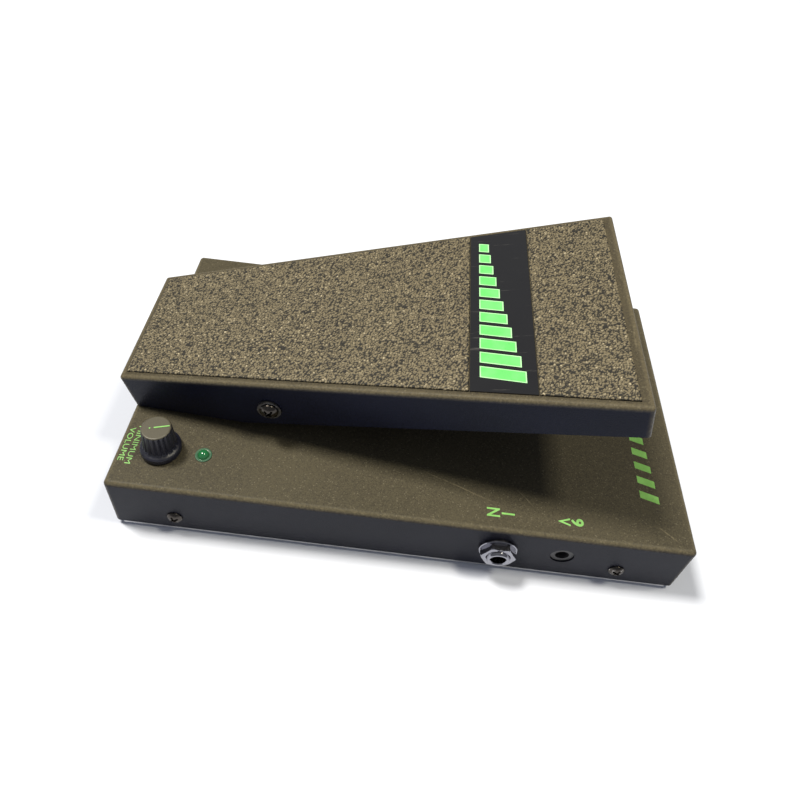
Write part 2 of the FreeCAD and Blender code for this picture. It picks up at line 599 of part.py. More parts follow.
def shutter_blade():
    """The blade, curved about the pivot so that it slides through a short slot."""
    outer = sector("blade_outer", "sizes.blade_radius + sizes.blade_sheet / 2")
    inner = sector("blade_inner", "sizes.blade_radius - sizes.blade_sheet / 2")
    strip = cut("blade_strip", outer, [inner])
    foot = box("blade_foot", f"{BLADE_TOP} - sizes.blade_foot + 5", "-sizes.blade_width / 2 - 3",
               "-sizes.treadle_sheet - sizes.blade_sheet", "sizes.blade_foot", "sizes.blade_width + 6",
               "sizes.blade_sheet")
    above = centred_box("blade_trim", BLADE_TOP, "0", "-sizes.treadle_sheet", "60", "60", "20")
    holes = [rod(f"blade_hole_{side}", "sizes.rivet_radius", "sizes.blade_sheet", BLADE_TOP,
                 f"{side} sizes.blade_width / 2", "-sizes.treadle_sheet - sizes.blade_sheet")
             for side in ("-", "0 +")]
    blade = cut("shutter_blade", fused("blade_blank", [strip, foot]), [above] + holes)
    bind(node(blade, "shutter_blade"), Placement=TREADLE_PLACE)
    rivets = [rivet(f"shutter_rivet_{index}", "sizes.rivet_radius", "sizes.rivet_head",
                    "sizes.blade_sheet + sizes.treadle_sheet", BLADE_TOP, f"{side} sizes.blade_width / 2",
                    "-sizes.treadle_sheet - sizes.blade_sheet", DOWNWARD)
              for index, side in enumerate(("-", "0 +"))]
    bind(group("shutter_rivets", rivets), Placement=TREADLE_PLACE)


def light_sensor():
    """A dark housing astride the blade, with a lamp in one cheek and a light cell in the other."""
    middle = "((sizes.housing_start + sizes.housing_end) / 2)"
    length = "sizes.housing_end - sizes.housing_start"
    block = centred_box("housing_block", middle, "0", BOARD_TOP, length, "sizes.housing_width",
                        "sizes.housing_rise")
    channel = centred_box("housing_channel", middle, "0", f"{BOARD_TOP} + 1.5", f"{length} - 4",
                          "sizes.slot_width", "sizes.housing_rise")
    level = f"({BOARD_TOP} + sizes.housing_rise * 0.6)"
    window = rod("housing_window", "2.5", "sizes.housing_width", middle, "-sizes.housing_width / 2", level,
                 ALONG_Y)
    node(cut("light_sensor_housing", block, [channel, window]), "light_sensor_housing")
    cheek = "((sizes.housing_width - sizes.slot_width) / 2)"
    at = "sizes.housing_width / 2"
    node(rod("sensor_lamp", "2.5", f"{cheek} - 1", middle, at, level, ALONG_MINUS_Y), "sensor_lamp")
    node(rod("light_cell", "2.5", f"{cheek} - 1", middle, f"-{at}", level, ALONG_Y), "light_cell")


# Rubber stops.

def stops():
    """A tall rubber stop under the heel, held by a screw, and a low one under the toe."""
    at = ("sizes.heel_stop_place", "0", BASE_TOP)
    buffer = cone("heel_buffer", "sizes.heel_stop_radius + 1", "sizes.heel_stop_radius",
                  "sizes.heel_stop_rise", *at)
    well = rod("heel_well", "sizes.screw_head + 0.3", "sizes.heel_stop_rise", "sizes.heel_stop_place", "0",
               f"{BASE_TOP} + sizes.heel_stop_rise - 5")
    hole = rod("heel_hole", "sizes.rivet_radius", "sizes.heel_stop_rise", *at)
    node(cut("heel_stop", buffer, [well, hole]), "heel_stop")
    depth = "(sizes.heel_stop_rise - 5)"
    screw = pan_screw("heel_stop_screw", "sizes.screw_head", "sizes.screw_head_rise", "sizes.rivet_radius",
                      f"{depth} + sizes.cover_sheet + 4", "sizes.heel_stop_place", "0",
                      f"{BASE_TOP} + {depth}", Rotation())
    node(screw, "heel_stop_screw")
    blank = hexagon("stop_nut_blank", "6", "2.4", "sizes.heel_stop_place", "0", f"{CEILING} - 2.4")
    bore = rod("stop_nut_bore", "sizes.rivet_radius", "2.4", "sizes.heel_stop_place", "0", f"{CEILING} - 2.4")
    node(cut("heel_stop_nut", blank, [bore]), "heel_stop_nut")
    node(cone("toe_stop", "sizes.toe_stop_radius", "sizes.toe_stop_radius - 2", "sizes.toe_stop_rise",
              "sizes.toe_stop_place", "0", BASE_TOP), "toe_stop")


# Minimum-volume control and status lamp.

def minimum_volume_control():
    """The potentiometer under the cover, its nut and washer, and its shaft."""
    at = ("sizes.knob_place_x", "sizes.knob_place_y")
    top = f"({BASE_TOP} + 0.5 + sizes.pot_nut_rise + 1)"
    case = rod("pot_case", "sizes.pot_radius", "sizes.pot_rise", *at, f"{CEILING} - sizes.pot_rise")
    thread = rod("pot_thread", "sizes.thread_radius", f"{top} - {CEILING}", *at, CEILING)
    bore = rod("pot_bore", "sizes.shaft_radius + sizes.running_gap", "60", *at, f"{CEILING} - sizes.pot_rise + 2")
    tags = [centred_box(f"pot_tag_{index}", f"sizes.knob_place_x + {offset}", "sizes.knob_place_y + 9",
                        f"{CEILING} - sizes.pot_rise + 1", "1.6", "6", "0.8")
            for index, offset in enumerate(("-4", "0", "4"))]
    node(cut("pot_body", fused("pot_blank", [case, thread] + tags), [bore]), "pot_body")
    shaft = rod("pot_shaft", "sizes.shaft_radius", f"{BASE_TOP} + sizes.knob_gap + 11 - {CEILING}"
                " + sizes.pot_rise - 2.2", *at, f"{CEILING} - sizes.pot_rise + 2.2")
    node(shaft, "pot_shaft")
    ring = rod("pot_washer_ring", "sizes.thread_radius + 2", "0.5", *at, BASE_TOP)
    eye = rod("pot_washer_eye", "sizes.thread_radius", "0.5", *at, BASE_TOP)
    node(cut("pot_washer", ring, [eye]), "pot_washer")
    seat = f"{BASE_TOP} + 0.5"
    blank = hexagon("pot_nut_blank", "sizes.pot_nut_flat", "sizes.pot_nut_rise", *at, seat)
    hole = rod("pot_nut_hole", "sizes.thread_radius", "sizes.pot_nut_rise", *at, seat)
    node(cut("pot_nut", blank, [hole]), "pot_nut")


def minimum_volume_knob():
    """A fluted knob with a skirt, hollow below to clear the nut, and a green pointer line."""
    seat = f"({BASE_TOP} + sizes.knob_gap)"
    place_knob = (f"placement(vector(sizes.knob_place_x; sizes.knob_place_y; {seat});"
                  " rotation(vector(0; 0; 1); sizes.knob_turn))")
    body = new_body("minimum_volume_knob")
    profile = outline(sketch(body, "XZ_Plane"), [
        ("0", "0"), ("sizes.skirt_radius", "0"), ("sizes.skirt_radius", "sizes.skirt_rise - 1"),
        ("sizes.skirt_radius - 0.6", "sizes.skirt_rise"), ("sizes.grip_radius + 0.3", "sizes.skirt_rise + 0.4"),
        ("sizes.grip_radius - 0.3", "sizes.knob_rise - 0.7"), ("sizes.grip_radius - 1", "sizes.knob_rise"),
        ("0", "sizes.knob_rise")])
    turned = body.newObject("PartDesign::Revolution", "knob_turned")
    turned.Profile = profile
    turned.ReferenceAxis = (profile, ["V_Axis"])
    turned.Angle = 360
    doc.recompute()
    flat = circle(sketch(body, "XY_Plane"), "0", "0", "sizes.pot_nut_flat / 2 / cos(30deg) + 0.4")
    pocket(body, flat, "3.4", Reversed=True)
    flat = circle(sketch(body, "XY_Plane"), "0", "0", "sizes.shaft_radius")
    pocket(body, flat, "11", Reversed=True)
    # Flutes: one round groove along the grip, repeated about the axis.
    flat = circle(sketch(body, "XY_Plane", "sizes.skirt_rise + 0.6"), "sizes.grip_radius + 0.3", "0",
                  "sizes.flute_radius")
    flute = pocket(body, flat, "sizes.knob_rise", Reversed=True)
    flutes = body.newObject("PartDesign::PolarPattern", "knob_flutes")
    flutes.Originals = [flute]
    flutes.Axis = (flat, ["N_Axis"])
    flutes.Angle = 360
    flutes.setExpression("Occurrences", "sizes.flute_count")
    body.Tip = flutes
    doc.recompute()
    bind(body, Placement=place_knob)
    line = box("knob_pointer_line", "-0.8", "-0.3", "sizes.knob_rise", "sizes.grip_radius - 0.4", "0.6", "0.2")
    dot = box("knob_pointer_dot", "-2.7", "-0.3", "sizes.knob_rise", "0.6", "0.6", "0.2")
    bind(group("knob_pointer", [line, dot]), Placement=place_knob)


def status_lamp():
    """A green 5 mm lamp in a snap-in bezel."""
    at = ("sizes.lamp_place_x", "sizes.lamp_place_y")
    stem = rod("lamp_stem", "sizes.lamp_radius", "5", *at, f"{BASE_TOP} - 5")
    dome = bind(doc.addObject("Part::Sphere", "lamp_dome"), Radius="sizes.lamp_radius")
    place(dome, *at, BASE_TOP)
    node(fused("status_lamp", [stem, dome]), "status_lamp")
    sleeve = rod("bezel_sleeve", "sizes.lamp_radius + 0.6", "4", *at, f"{CEILING} - 2")
    flange = rod("bezel_flange", "sizes.bezel_radius + 0.2", "0.5", *at, BASE_TOP)
    bore = rod("bezel_bore", "sizes.lamp_radius", "20", *at, f"{BASE_TOP} - 10")
    node(cut("lamp_bezel", fused("bezel_blank", [sleeve, flange]), [bore]), "lamp_bezel")


# Jacks.

def plug_jacks():
    """The input jack in the right side, and its mirror image, the output jack, in the left."""
    wall, inner = f"-{SIDE}", f"-{INNER_SIDE}"
    proud = f"({SIDE} + sizes.jack_proud)"
    at = ("sizes.jack_place", inner, JACK_LEVEL, ALONG_MINUS_Y)
    thread = rod("jack_bushing_thread", "sizes.jack_thread", f"{proud} - {INNER_SIDE}", *at)
    bore = rod("jack_bushing_bore", "sizes.plug_radius", f"{proud} - {INNER_SIDE}", *at)
    bushing = cut("jack_bushing", thread, [bore])
    node(bushing, "input_jack_bushing")
    node(mirrored(bushing, "output_bushing"), "output_jack_bushing")
    back = f"({INNER_SIDE} - sizes.jack_body_depth)"
    block = centred_box("jack_block", "sizes.jack_place", f"-({INNER_SIDE} + {back}) / 2",
                        f"{JACK_LEVEL} - sizes.jack_body_rise / 2", "sizes.jack_body_width",
                        "sizes.jack_body_depth", "sizes.jack_body_rise")
    hole = rod("jack_block_bore", "sizes.plug_radius", "sizes.jack_body_depth - 2", "sizes.jack_place",
               f"-{back} - 2", JACK_LEVEL, ALONG_MINUS_Y)
    housing = cut("jack_housing", block, [hole])
    node(housing, "input_jack_body")
    node(mirrored(housing, "output_housing"), "output_jack_body")
    face = ("sizes.jack_place", wall, JACK_LEVEL, ALONG_MINUS_Y)
    disc = rod("jack_washer_disc", "sizes.jack_washer", "sizes.jack_washer_sheet", *face)
    eye = rod("jack_washer_eye", "sizes.jack_thread", "sizes.jack_washer_sheet", *face)
    washer = cut("jack_washer", disc, [eye])
    group("jack_washers", [washer, mirrored(washer, "jack_washer_left")])
    seat = ("sizes.jack_place", f"-({SIDE} + sizes.jack_washer_sheet)", JACK_LEVEL, ALONG_MINUS_Y)
    blank = hexagon("jack_nut_blank", "sizes.jack_nut_flat", "sizes.jack_nut_rise", *seat)
    thread_hole = rod("jack_nut_hole", "sizes.jack_thread", "sizes.jack_nut_rise", *seat)
    nut = cut("jack_nut", blank, [thread_hole])
    group("jack_nuts", [nut, mirrored(nut, "jack_nut_left")])


def power_jack():
    """The barrel jack for the mains adapter, with its centre pin."""
    face = f"-({SIDE} - 0.6)"
    block = centred_box("power_block", "sizes.power_place", f"-{INNER_SIDE} + sizes.power_depth / 2",
                        f"{JACK_LEVEL} - sizes.power_rise / 2", "sizes.power_width", "sizes.power_depth",
                        "sizes.power_rise")
    barrel = rod("power_barrel", "sizes.power_barrel", "sizes.power_depth", "sizes.power_place", face,
                 JACK_LEVEL, ALONG_Y)
    bore = rod("power_bore", "sizes.power_bore", "sizes.power_depth - 2", "sizes.power_place", face,
               JACK_LEVEL, ALONG_Y)
    node(cut("power_jack", fused("power_blank", [block, barrel]), [bore]), "power_jack")
    node(rod("power_pin", "sizes.power_pin", "sizes.power_depth - 4", "sizes.power_place",
             f"{face} + sizes.power_depth - 2", JACK_LEVEL, ALONG_MINUS_Y), "power_jack_pin")


# Circuit board.

def board_corners():
    """The board's four fixing places."""
    return [(x, y) for x in ("sizes.board_start + sizes.board_margin", "sizes.board_end - sizes.board_margin")
            for y in ("-sizes.board_width / 2 + sizes.board_margin",
                      "sizes.board_width / 2 - sizes.board_margin")]


def circuit_board():
    """The board, and the standoffs and screws that hold it on the bottom plate."""
    body = new_body("circuit_board")
    flat = rectangle(sketch(body, "XY_Plane", BOARD_FLOOR), "sizes.board_start", "-sizes.board_width / 2",
                     "sizes.board_end", "sizes.board_width / 2")
    for across, along in board_corners():
        circle(flat, across, along, "sizes.screw_shank")
    pad(body, flat, "sizes.board_sheet")
    posts, screws = [], []
    for across, along in board_corners():
        blank = rod(f"post_blank_{len(posts)}", "sizes.standoff_radius", "sizes.standoff_rise", across, along,
                    COVER_FOOT)
        bore = rod(f"post_bore_{len(posts)}", "sizes.screw_shank", "sizes.standoff_rise", across, along,
                   COVER_FOOT)
        posts.append(cut(f"board_post_{len(posts)}", blank, [bore]))
        screws.append(pan_screw(f"board_screw_{len(screws)}", "2.8", "1.6", "sizes.screw_shank",
                                "sizes.board_sheet + sizes.standoff_rise - 1", across, along, BOARD_TOP,
                                Rotation()))
    group("board_standoffs", posts)
    group("board_screws", screws)


CHIP_SIDES = (-18, 18)
CAN_PLACES = ((42, -18), (42, -8), (42, 22), (14, 24))
FILM_PLACES = ((13, -24), (13, -16), (40, 6), (40, 12))
RESISTOR_SIDES = (-22, -16, -10, 10, 16, 22)


def board_parts():
    """The parts soldered on the board: amplifier chips, capacitors and resistors."""
    chips = []
    for side in CHIP_SIDES:
        name = f"chip_{len(chips)}"
        case = centred_box(f"{name}_case", "26", f"{side}", f"{BOARD_TOP} + 0.5", "9.4", "6.4", "3.3")
        legs = [centred_box(f"{name}_leg_{index}_{row}", f"26 + {2.54 * index - 3.81}",
                            f"{side} + {3.4 * row}", BOARD_TOP, "0.5", "0.6", "2.2")
                for index in range(4) for row in (-1, 1)]
        chips.append(fused(name, [case] + legs))
    group("amplifier_chips", chips)
    group("electrolytic_capacitors", [rod(f"can_{index}", "3.2", "11", f"{across}", f"{along}", BOARD_TOP)
                                      for index, (across, along) in enumerate(CAN_PLACES)])
    group("film_capacitors", [centred_box(f"film_{index}", f"{across}", f"{along}", BOARD_TOP,
                                          "7.2", "2.6", "6.5")
                              for index, (across, along) in enumerate(FILM_PLACES)])
    group("resistors", [rod(f"resistor_{index}", "1.15", "6.5", "-29", f"{along}", f"{BOARD_TOP} + 1.15",
                            ALONG_X) for index, along in enumerate(RESISTOR_SIDES)])


# Battery and its door.

def battery():
    """A nine-volt block battery with its two snap studs, and the connector on them."""
    block = box("battery_block", "sizes.battery_start", "sizes.battery_side", "sizes.battery_floor",
                "sizes.battery_length - 3.5", "sizes.battery_width", "sizes.battery_rise")
    block.setExpression("Placement.Base.x", "sizes.battery_start + 3.5")
    middle = "(sizes.battery_side + sizes.battery_width / 2)"
    level = "(sizes.battery_floor + sizes.battery_rise / 2)"
    studs = [rod(f"battery_stud_{index}", radius, "3", "sizes.battery_start + 3.5", f"{middle} {offset}", level,
                 ALONG_MINUS_X) for index, (radius, offset) in enumerate((("2.8", "- 6.35"), ("3.4", "+ 6.35")))]
    node(fused("battery", [block] + studs), "battery")
    cap = box("snap_cap", "sizes.battery_start - 1.5", f"{middle} - 12.5", f"{level} - 6.5", "4.6", "25", "13")
    wells = [rod(f"snap_well_{index}", radius, "3.2", "sizes.battery_start + 3.5", f"{middle} {offset}", level,
                 ALONG_MINUS_X) for index, (radius, offset) in enumerate((("2.8", "- 6.35"), ("3.4", "+ 6.35")))]
    node(cut("battery_snap", cap, wells), "battery_snap")


def battery_bay():
    """A plastic bay under the cover that keeps the battery in place."""
    body = new_body("battery_bay")
    edges = door_edges()
    flat = rectangle(sketch(body, "XY_Plane", f"{CEILING}"), *edges)
    pad(body, flat, f"{CEILING} - sizes.battery_floor", Reversed=True)
    wall = "1.2"
    flat = rectangle(sketch(body, "XY_Plane", "sizes.battery_floor"), f"{edges[0]} + {wall}",
                     f"{edges[1]} + {wall}", f"{edges[2]} - {wall}", f"{edges[3]} - {wall}")
    pocket(body, flat, f"{CEILING} - sizes.battery_floor - {wall}", Reversed=True)
    flat = rectangle(sketch(body, "YZ_Plane", f"{edges[0]} - 1"), "sizes.battery_side + 5",
                     "sizes.battery_floor", "sizes.battery_side + sizes.battery_width - 5",
                     "sizes.battery_floor + 16")
    pocket(body, flat, "sizes.door_margin", Reversed=True)


def battery_door():
    """The plastic door in the bottom plate, with hooks at its hinge end and a foam pad inside."""
    left, low, right, high = door_edges()
    length, width = f"{right} - ({left})", f"{high} - ({low})"
    half = "sizes.door_sheet / 2"
    panel = box("door_panel", f"{left} + {half}", low, "sizes.foot_rise", f"{length} - {half}", width,
                "sizes.door_sheet")
    # The hinge end is rounded, and turns about its own middle.
    knuckle = rod("door_knuckle", half, width, f"{left} + {half}", low, f"sizes.foot_rise + {half}", ALONG_Y)
    hooks = [box(f"door_hook_{index}", f"{left} - 1.6", f"{low} + {offset}", f"{COVER_FOOT} + 0.15", "3.1", "6",
                 "sizes.door_sheet - sizes.plate_sheet - 0.15 + 0.6")
             for index, offset in enumerate(("4", f"{width} - 10"))]
    notch = centred_box("door_notch", f"({right} - 3)", f"(({low} + {high}) / 2)", "sizes.foot_rise - 0.4", "2", "12",
                        "1")
    node(cut("battery_door", fused("door_blank", [panel, knuckle] + hooks), [notch]), "battery_door")
    node(box("door_foam", f"{left} + 6", f"{low} + 6", "sizes.foot_rise + sizes.door_sheet",
             f"{length} - 12", f"{width} - 12", "1.5"), "door_foam")


# Wiring inside the base.

def wiring():
    """Insulated wires from the board to the battery, jacks, control and lamp."""
    battery_leads = []
    for index in range(2):
        start, end = f"28 + {2.6 * index}", f"14 + {3 * index}"
        battery_leads.append(wire(f"battery_lead_{index}", [
            ("sizes.battery_start - 1.5", start, "16"), ("sizes.battery_start - 8", start, "16"),
            ("sizes.board_end - 5", end, "14"), ("sizes.board_end - 5", end, BOARD_TOP)]))
    group("battery_leads", battery_leads)

    back, edge = f"({INNER_SIDE} - sizes.jack_body_depth)", "-sizes.board_width / 2 + 3"
    jack_leads = []
    for index in range(2):
        across = f"sizes.jack_place - 4 + {5 * index}"
        lead = wire(f"jack_lead_{index}", [
            (across, f"-{back}", JACK_LEVEL), (across, f"-{back} + 9", JACK_LEVEL),
            (across, edge, f"{BOARD_TOP} + 3.5"), (across, edge, BOARD_TOP)])
        jack_leads += [lead, mirrored(lead, f"jack_lead_{index}_left")]
    group("jack_leads", jack_leads)

    level = f"{CEILING} - sizes.pot_rise + 1.4"
    control_leads = []
    for index in range(3):
        across, end = f"sizes.knob_place_x + {4 * index - 4}", f"{4 - 4 * index}"
        control_leads.append(wire(f"control_lead_{index}", [
            (across, "sizes.knob_place_y + 12", level), (across, f"sizes.knob_place_y + {24 - 3 * index}", level),
            ("sizes.board_start - 16", f"{end} - 8", "18"), ("sizes.board_start + 3", end, "16"),
            ("sizes.board_start + 3", end, BOARD_TOP)]))
    group("control_leads", control_leads)

    lamp_leads = []
    for index in range(2):
        across, end = f"sizes.lamp_place_x + {2.54 * index - 1.27}", f"{6 * (1 - index) - 19}"
        lamp_leads.append(wire(f"lamp_lead_{index}", [
            (across, "sizes.lamp_place_y", f"{BASE_TOP} - 5"), (across, "sizes.lamp_place_y", "15"),
            (f"{across} + 14", f"sizes.lamp_place_y + {12 - 3 * index}", "13"),
            ("sizes.board_start - 12", f"{end} - 4", "13"), ("sizes.board_start + 1.7", end, "13"),
            ("sizes.board_start + 1.7", end, BOARD_TOP)]))
    group("lamp_leads", lamp_leads)

    power_leads = []
    for index in range(2):
        across, end = f"sizes.power_place - 3 + {6 * index}", f"-20 + {6 * index}"
        power_leads.append(wire(f"power_lead_{index}", [
            (across, f"-{INNER_SIDE} + sizes.power_depth", JACK_LEVEL),
            (across, f"-{INNER_SIDE} + sizes.power_depth + 14", JACK_LEVEL),
            ("sizes.board_end - 3", end, f"{BOARD_TOP} + 4"), ("sizes.board_end - 3", end, BOARD_TOP)]))
    group("power_leads", power_leads)


base_cover()
bottom_plate()
rubber_feet()
cover_screws()
treadle_shell()
grip_mats()
pivot_bracket()
bracket_rivets()
pivot_fixings()
pivot_bushes()
shutter_blade()
light_sensor()
stops()
minimum_volume_control()
minimum_volume_knob()
status_lamp()
plug_jacks()
power_jack()
circuit_board()
board_parts()
battery()
battery_bay()
battery_door()
wiring()
doc.recompute()

# Nothing is written unless every object is sound.
for each in doc.Objects:
    if "Invalid" in each.State or "Error" in each.State:
        raise RuntimeError(f"{each.Label} failed: {each.State}")
for piece in nodes:
    if piece.Shape.isNull() or not piece.Shape.isValid() or not piece.Shape.Solids:
        raise RuntimeError(f"{piece.Label} has no sound solid")

os.makedirs("parts", exist_ok=True)
for piece in nodes:
    piece.Shape.exportStep(f"parts/{piece.Label}.step")
print(len(nodes), "nodes written")
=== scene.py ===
"""A foot-rocked volume pedal: a folded steel base, a treadle on its pivot, and all that they carry."""
import math
import random

import bmesh
import bpy
from mathutils import Euler, Matrix, Vector


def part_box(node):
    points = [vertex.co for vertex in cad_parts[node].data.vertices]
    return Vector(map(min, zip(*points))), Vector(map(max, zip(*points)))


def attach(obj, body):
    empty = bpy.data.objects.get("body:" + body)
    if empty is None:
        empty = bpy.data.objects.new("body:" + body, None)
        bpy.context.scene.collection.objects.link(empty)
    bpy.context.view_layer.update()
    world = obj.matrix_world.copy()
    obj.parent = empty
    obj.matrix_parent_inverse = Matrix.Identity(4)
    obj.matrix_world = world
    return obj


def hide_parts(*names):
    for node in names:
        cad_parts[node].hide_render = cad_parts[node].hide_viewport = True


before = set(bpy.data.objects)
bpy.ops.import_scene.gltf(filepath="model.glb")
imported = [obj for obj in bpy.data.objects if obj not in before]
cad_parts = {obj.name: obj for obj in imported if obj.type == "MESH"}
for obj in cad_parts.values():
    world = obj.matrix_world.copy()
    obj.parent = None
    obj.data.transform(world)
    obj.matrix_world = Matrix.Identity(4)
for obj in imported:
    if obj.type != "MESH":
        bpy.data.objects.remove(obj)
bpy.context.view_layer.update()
scene = bpy.context.scene
MM = 0.001


# Base cover. The whole base is folded from one sheet of 1.2 mm steel, with welded corners, and
# sprayed with fine black powder coat. The bends are painted a lighter grey-brown as a highlight. The top is
# painted lighter, partly for a film of dust and partly as painted light, with sparse light specks painted as
# glints, and a few light scratches from shoes and cables lie on the top.

class Value:
    """A number or pattern in a node tree. A sum written with it adds the Math nodes of that sum."""

    def __init__(self, tree, socket):
        self.tree, self.socket = tree, socket

    def sum(self, operation, *others):
        return self.tree.node("ShaderNodeMath", {"operation": operation}, dict(enumerate(others)))

    def __add__(self, other):
        return self.sum("ADD", self, other)

    def __radd__(self, other):
        return self.sum("ADD", other, self)

    def __sub__(self, other):
        return self.sum("SUBTRACT", self, other)

    def __rsub__(self, other):
        return self.sum("SUBTRACT", other, self)

    def __mul__(self, other):
        return self.sum("MULTIPLY", self, other)

    def __rmul__(self, other):
        return self.sum("MULTIPLY", other, self)

    def __truediv__(self, other):
        return self.sum("DIVIDE", self, other)

    def __rtruediv__(self, other):
        return self.sum("DIVIDE", other, self)

    def __pow__(self, other):
        return self.sum("POWER", self, other)

    def __abs__(self):
        return self.sum("ABSOLUTE", self)

    def least(self, other):
        return self.sum("MINIMUM", self, other)

    def most(self, other):
        return self.sum("MAXIMUM", self, other)

    def step(self, low, high):
        """From 0 at low to 1 at high, eased at both ends."""
        return self.tree.node("ShaderNodeMapRange", {"interpolation_type": "SMOOTHSTEP"},
                              {"Value": self, "From Min": low, "From Max": high})


class Nodes:
    """A node tree under construction: one method adds any node."""

    def __init__(self, tree):
        self.tree = tree

    def node(self, kind, settings=None, inputs=None, give=0):
        made = self.tree.nodes.new(kind)
        for name, setting in (settings or {}).items():
            if name == "stops":
                ramp = made.color_ramp
                while len(ramp.elements) < len(setting):
                    ramp.elements.new(1)
                for element, (at, colour) in zip(ramp.elements, setting):
                    element.position, element.color = at, colour
            else:
                setattr(made, name, setting)
        for key, given in (inputs or {}).items():
            if isinstance(given, Value):
                self.tree.links.new(given.socket, made.inputs[key])
            else:
                made.inputs[key].default_value = given
        return Value(self, made.outputs[give])


class Finish(Nodes):
    """A material: its shader takes constants at once, and patterns through wear()."""

    def __init__(self, name, colour=(0.5, 0.5, 0.5), roughness=0.5, **constants):
        self.material = bpy.data.materials.new(name)
        self.material.use_nodes = True
        super().__init__(self.material.node_tree)
        self.shader = self.tree.nodes["Principled BSDF"]
        self.colour = (*colour, 1)
        self.shader.inputs["Base Color"].default_value = self.colour
        self.shader.inputs["Roughness"].default_value = roughness
        for socket, constant in constants.items():
            label = socket.replace("_", " ").title().replace("Ior", "IOR")
            self.shader.inputs[label].default_value = constant
        self.place = self.node("ShaderNodeTexCoord", give="Object")

    def axes(self, place=None):
        return [self.node("ShaderNodeSeparateXYZ", None, {0: place or self.place}, axis) for axis in range(3)]

    def noise(self, size, detail=2.0, roughness=0.5, place=None):
        """A soft random pattern of patches about that many metres across, from 0 to 1."""
        return self.node("ShaderNodeTexNoise", None, {"Vector": place or self.place, "Scale": 1 / size,
                                                      "Detail": detail, "Roughness": roughness})

    def cells(self, size, feature="F1", place=None, give="Distance"):
        """A pattern of cells about that many metres across."""
        return self.node("ShaderNodeTexVoronoi", {"feature": feature},
                         {"Vector": place or self.place, "Scale": 1 / size}, give)

    def turned(self, rotation=(0, 0, 0), scale=(1, 1, 1), move=(0, 0, 0)):
        """Where a point is in a frame that is moved, turned and stretched."""
        return self.node("ShaderNodeMapping", None, {"Vector": self.place, "Location": move,
                                                     "Rotation": rotation, "Scale": scale})

    def blend(self, share, low, high):
        """A colour between two others."""
        low, high = [(*c, 1) if isinstance(c, tuple) and len(c) == 3 else c for c in (low, high)]
        return self.node("ShaderNodeMix", {"data_type": "RGBA"}, {0: share, 6: low, 7: high}, 2)

    def wear(self, **patterns):
        """Link patterns to the shader's own sockets."""
        for socket, pattern in patterns.items():
            self.tree.links.new(pattern.socket, self.shader.inputs[socket.replace("_", " ").title()])
        return self

    def grain(self, height, depth, under=None):
        """Raise the surface by a pattern."""
        inputs = {"Height": height, "Distance": depth, "Strength": 1.0}
        if under:
            inputs["Normal"] = under
        bumped = self.node("ShaderNodeBump", None, inputs)
        self.wear(normal=bumped)
        return bumped

    def cover(self, *names):
        """Give this finish to CAD pieces, in their own material slots."""
        for name in names:
            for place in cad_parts[name].material_slots:
                place.material = self.material


def powder_coat(name, colour, dust_and_top_light, edge, level, scratches, rotation=(0, 0, 0), move=(0, 0, 0)):
    """Fine black powder coat: pimpled, painted lighter on top for dust and painted light, with a painted
    brown highlight along its bends and scratches in the same brown.
    """
    paint = Finish(name, colour, 0.4, specular_ior_level=0.1, specular_tint=(0.72, 0.8, 1.0, 1))
    place = paint.turned(rotation, (1, 1, 1), move)
    along, across, up = paint.axes(place)
    # The speck colour paints glints. The brown paints a highlight along the bends and also colours the
    # scratches.
    glint_speck, highlight_and_scratch_brown = (0.30, 0.27, 0.20), (0.26, 0.22, 0.14)
    speckle = paint.noise(0.0011, 3, 0.7)
    patches = paint.noise(0.035, 3, 0.55)
    fine = paint.cells(0.00042, give="Color")
    glint = paint.node("ShaderNodeSeparateColor", None, {0: fine})
    # The bends are painted lighter brown as a highlight. The scratches below add real wear in the same brown.
    bend_highlight_and_scratches = edge(along, across, up) * (0.35 + speckle.step(0.35, 0.75) * 0.65) * 0.4
    for start, end, width, strength in scratches:
        reach = math.dist(start, end)
        cos, sin = (end[0] - start[0]) / reach, (end[1] - start[1]) / reach
        run = (along - start[0]) * cos + (across - start[1]) * sin
        off = abs((across - start[1]) * cos - (along - start[0]) * sin + (patches - 0.5) * 0.004)
        inside = run.step(0, reach * 0.2) * (1 - run.step(reach * 0.7, reach))
        bend_highlight_and_scratches = bend_highlight_and_scratches.most((1 - off.step(width * 0.3, width)) * inside * strength * speckle.step(0.3, 0.6) * 0.5)
    # The top faces are painted lighter, partly as dust and partly as painted light falling on them.
    dust_and_light_film = up.step(level - 0.0017, level - 0.0002) * (0.55 + glint * 0.5 + patches.step(0.3, 0.75) * 0.15)
    tone = paint.blend(patches.step(0.35, 0.7), colour, tuple(c * 1.4 for c in colour))
    tone = paint.blend(dust_and_light_film, tone, dust_and_top_light)
    # Sparse light specks on the top are painted glints.
    tone = paint.blend(glint.step(0.955, 0.99) * dust_and_light_film * 0.2, tone, glint_speck)
    tone = paint.blend(bend_highlight_and_scratches, tone, highlight_and_scratch_brown)
    paint.wear(base_color=tone, roughness=0.27 + dust_and_light_film * 0.12 + glint * 0.08 + patches * 0.05)
    paint.grain(paint.noise(0.0005, 2, 0.6), 0.0001)
    return paint


cover_low, cover_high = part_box("base_cover")
cover_middle = (cover_low + cover_high) / 2
cover_half = (cover_high - cover_low) / 2


def base_edges(along, across, up):
    """How near a point is to a bend or corner of the base cover."""
    end = cover_half.x - abs(along - cover_middle.x)
    side = cover_half.y - abs(across)
    top = cover_high.z - up
    nearest = (end.least(side) + top.most(0)).least(end + side)
    return 1 - nearest.step(0.0009, 0.0024)


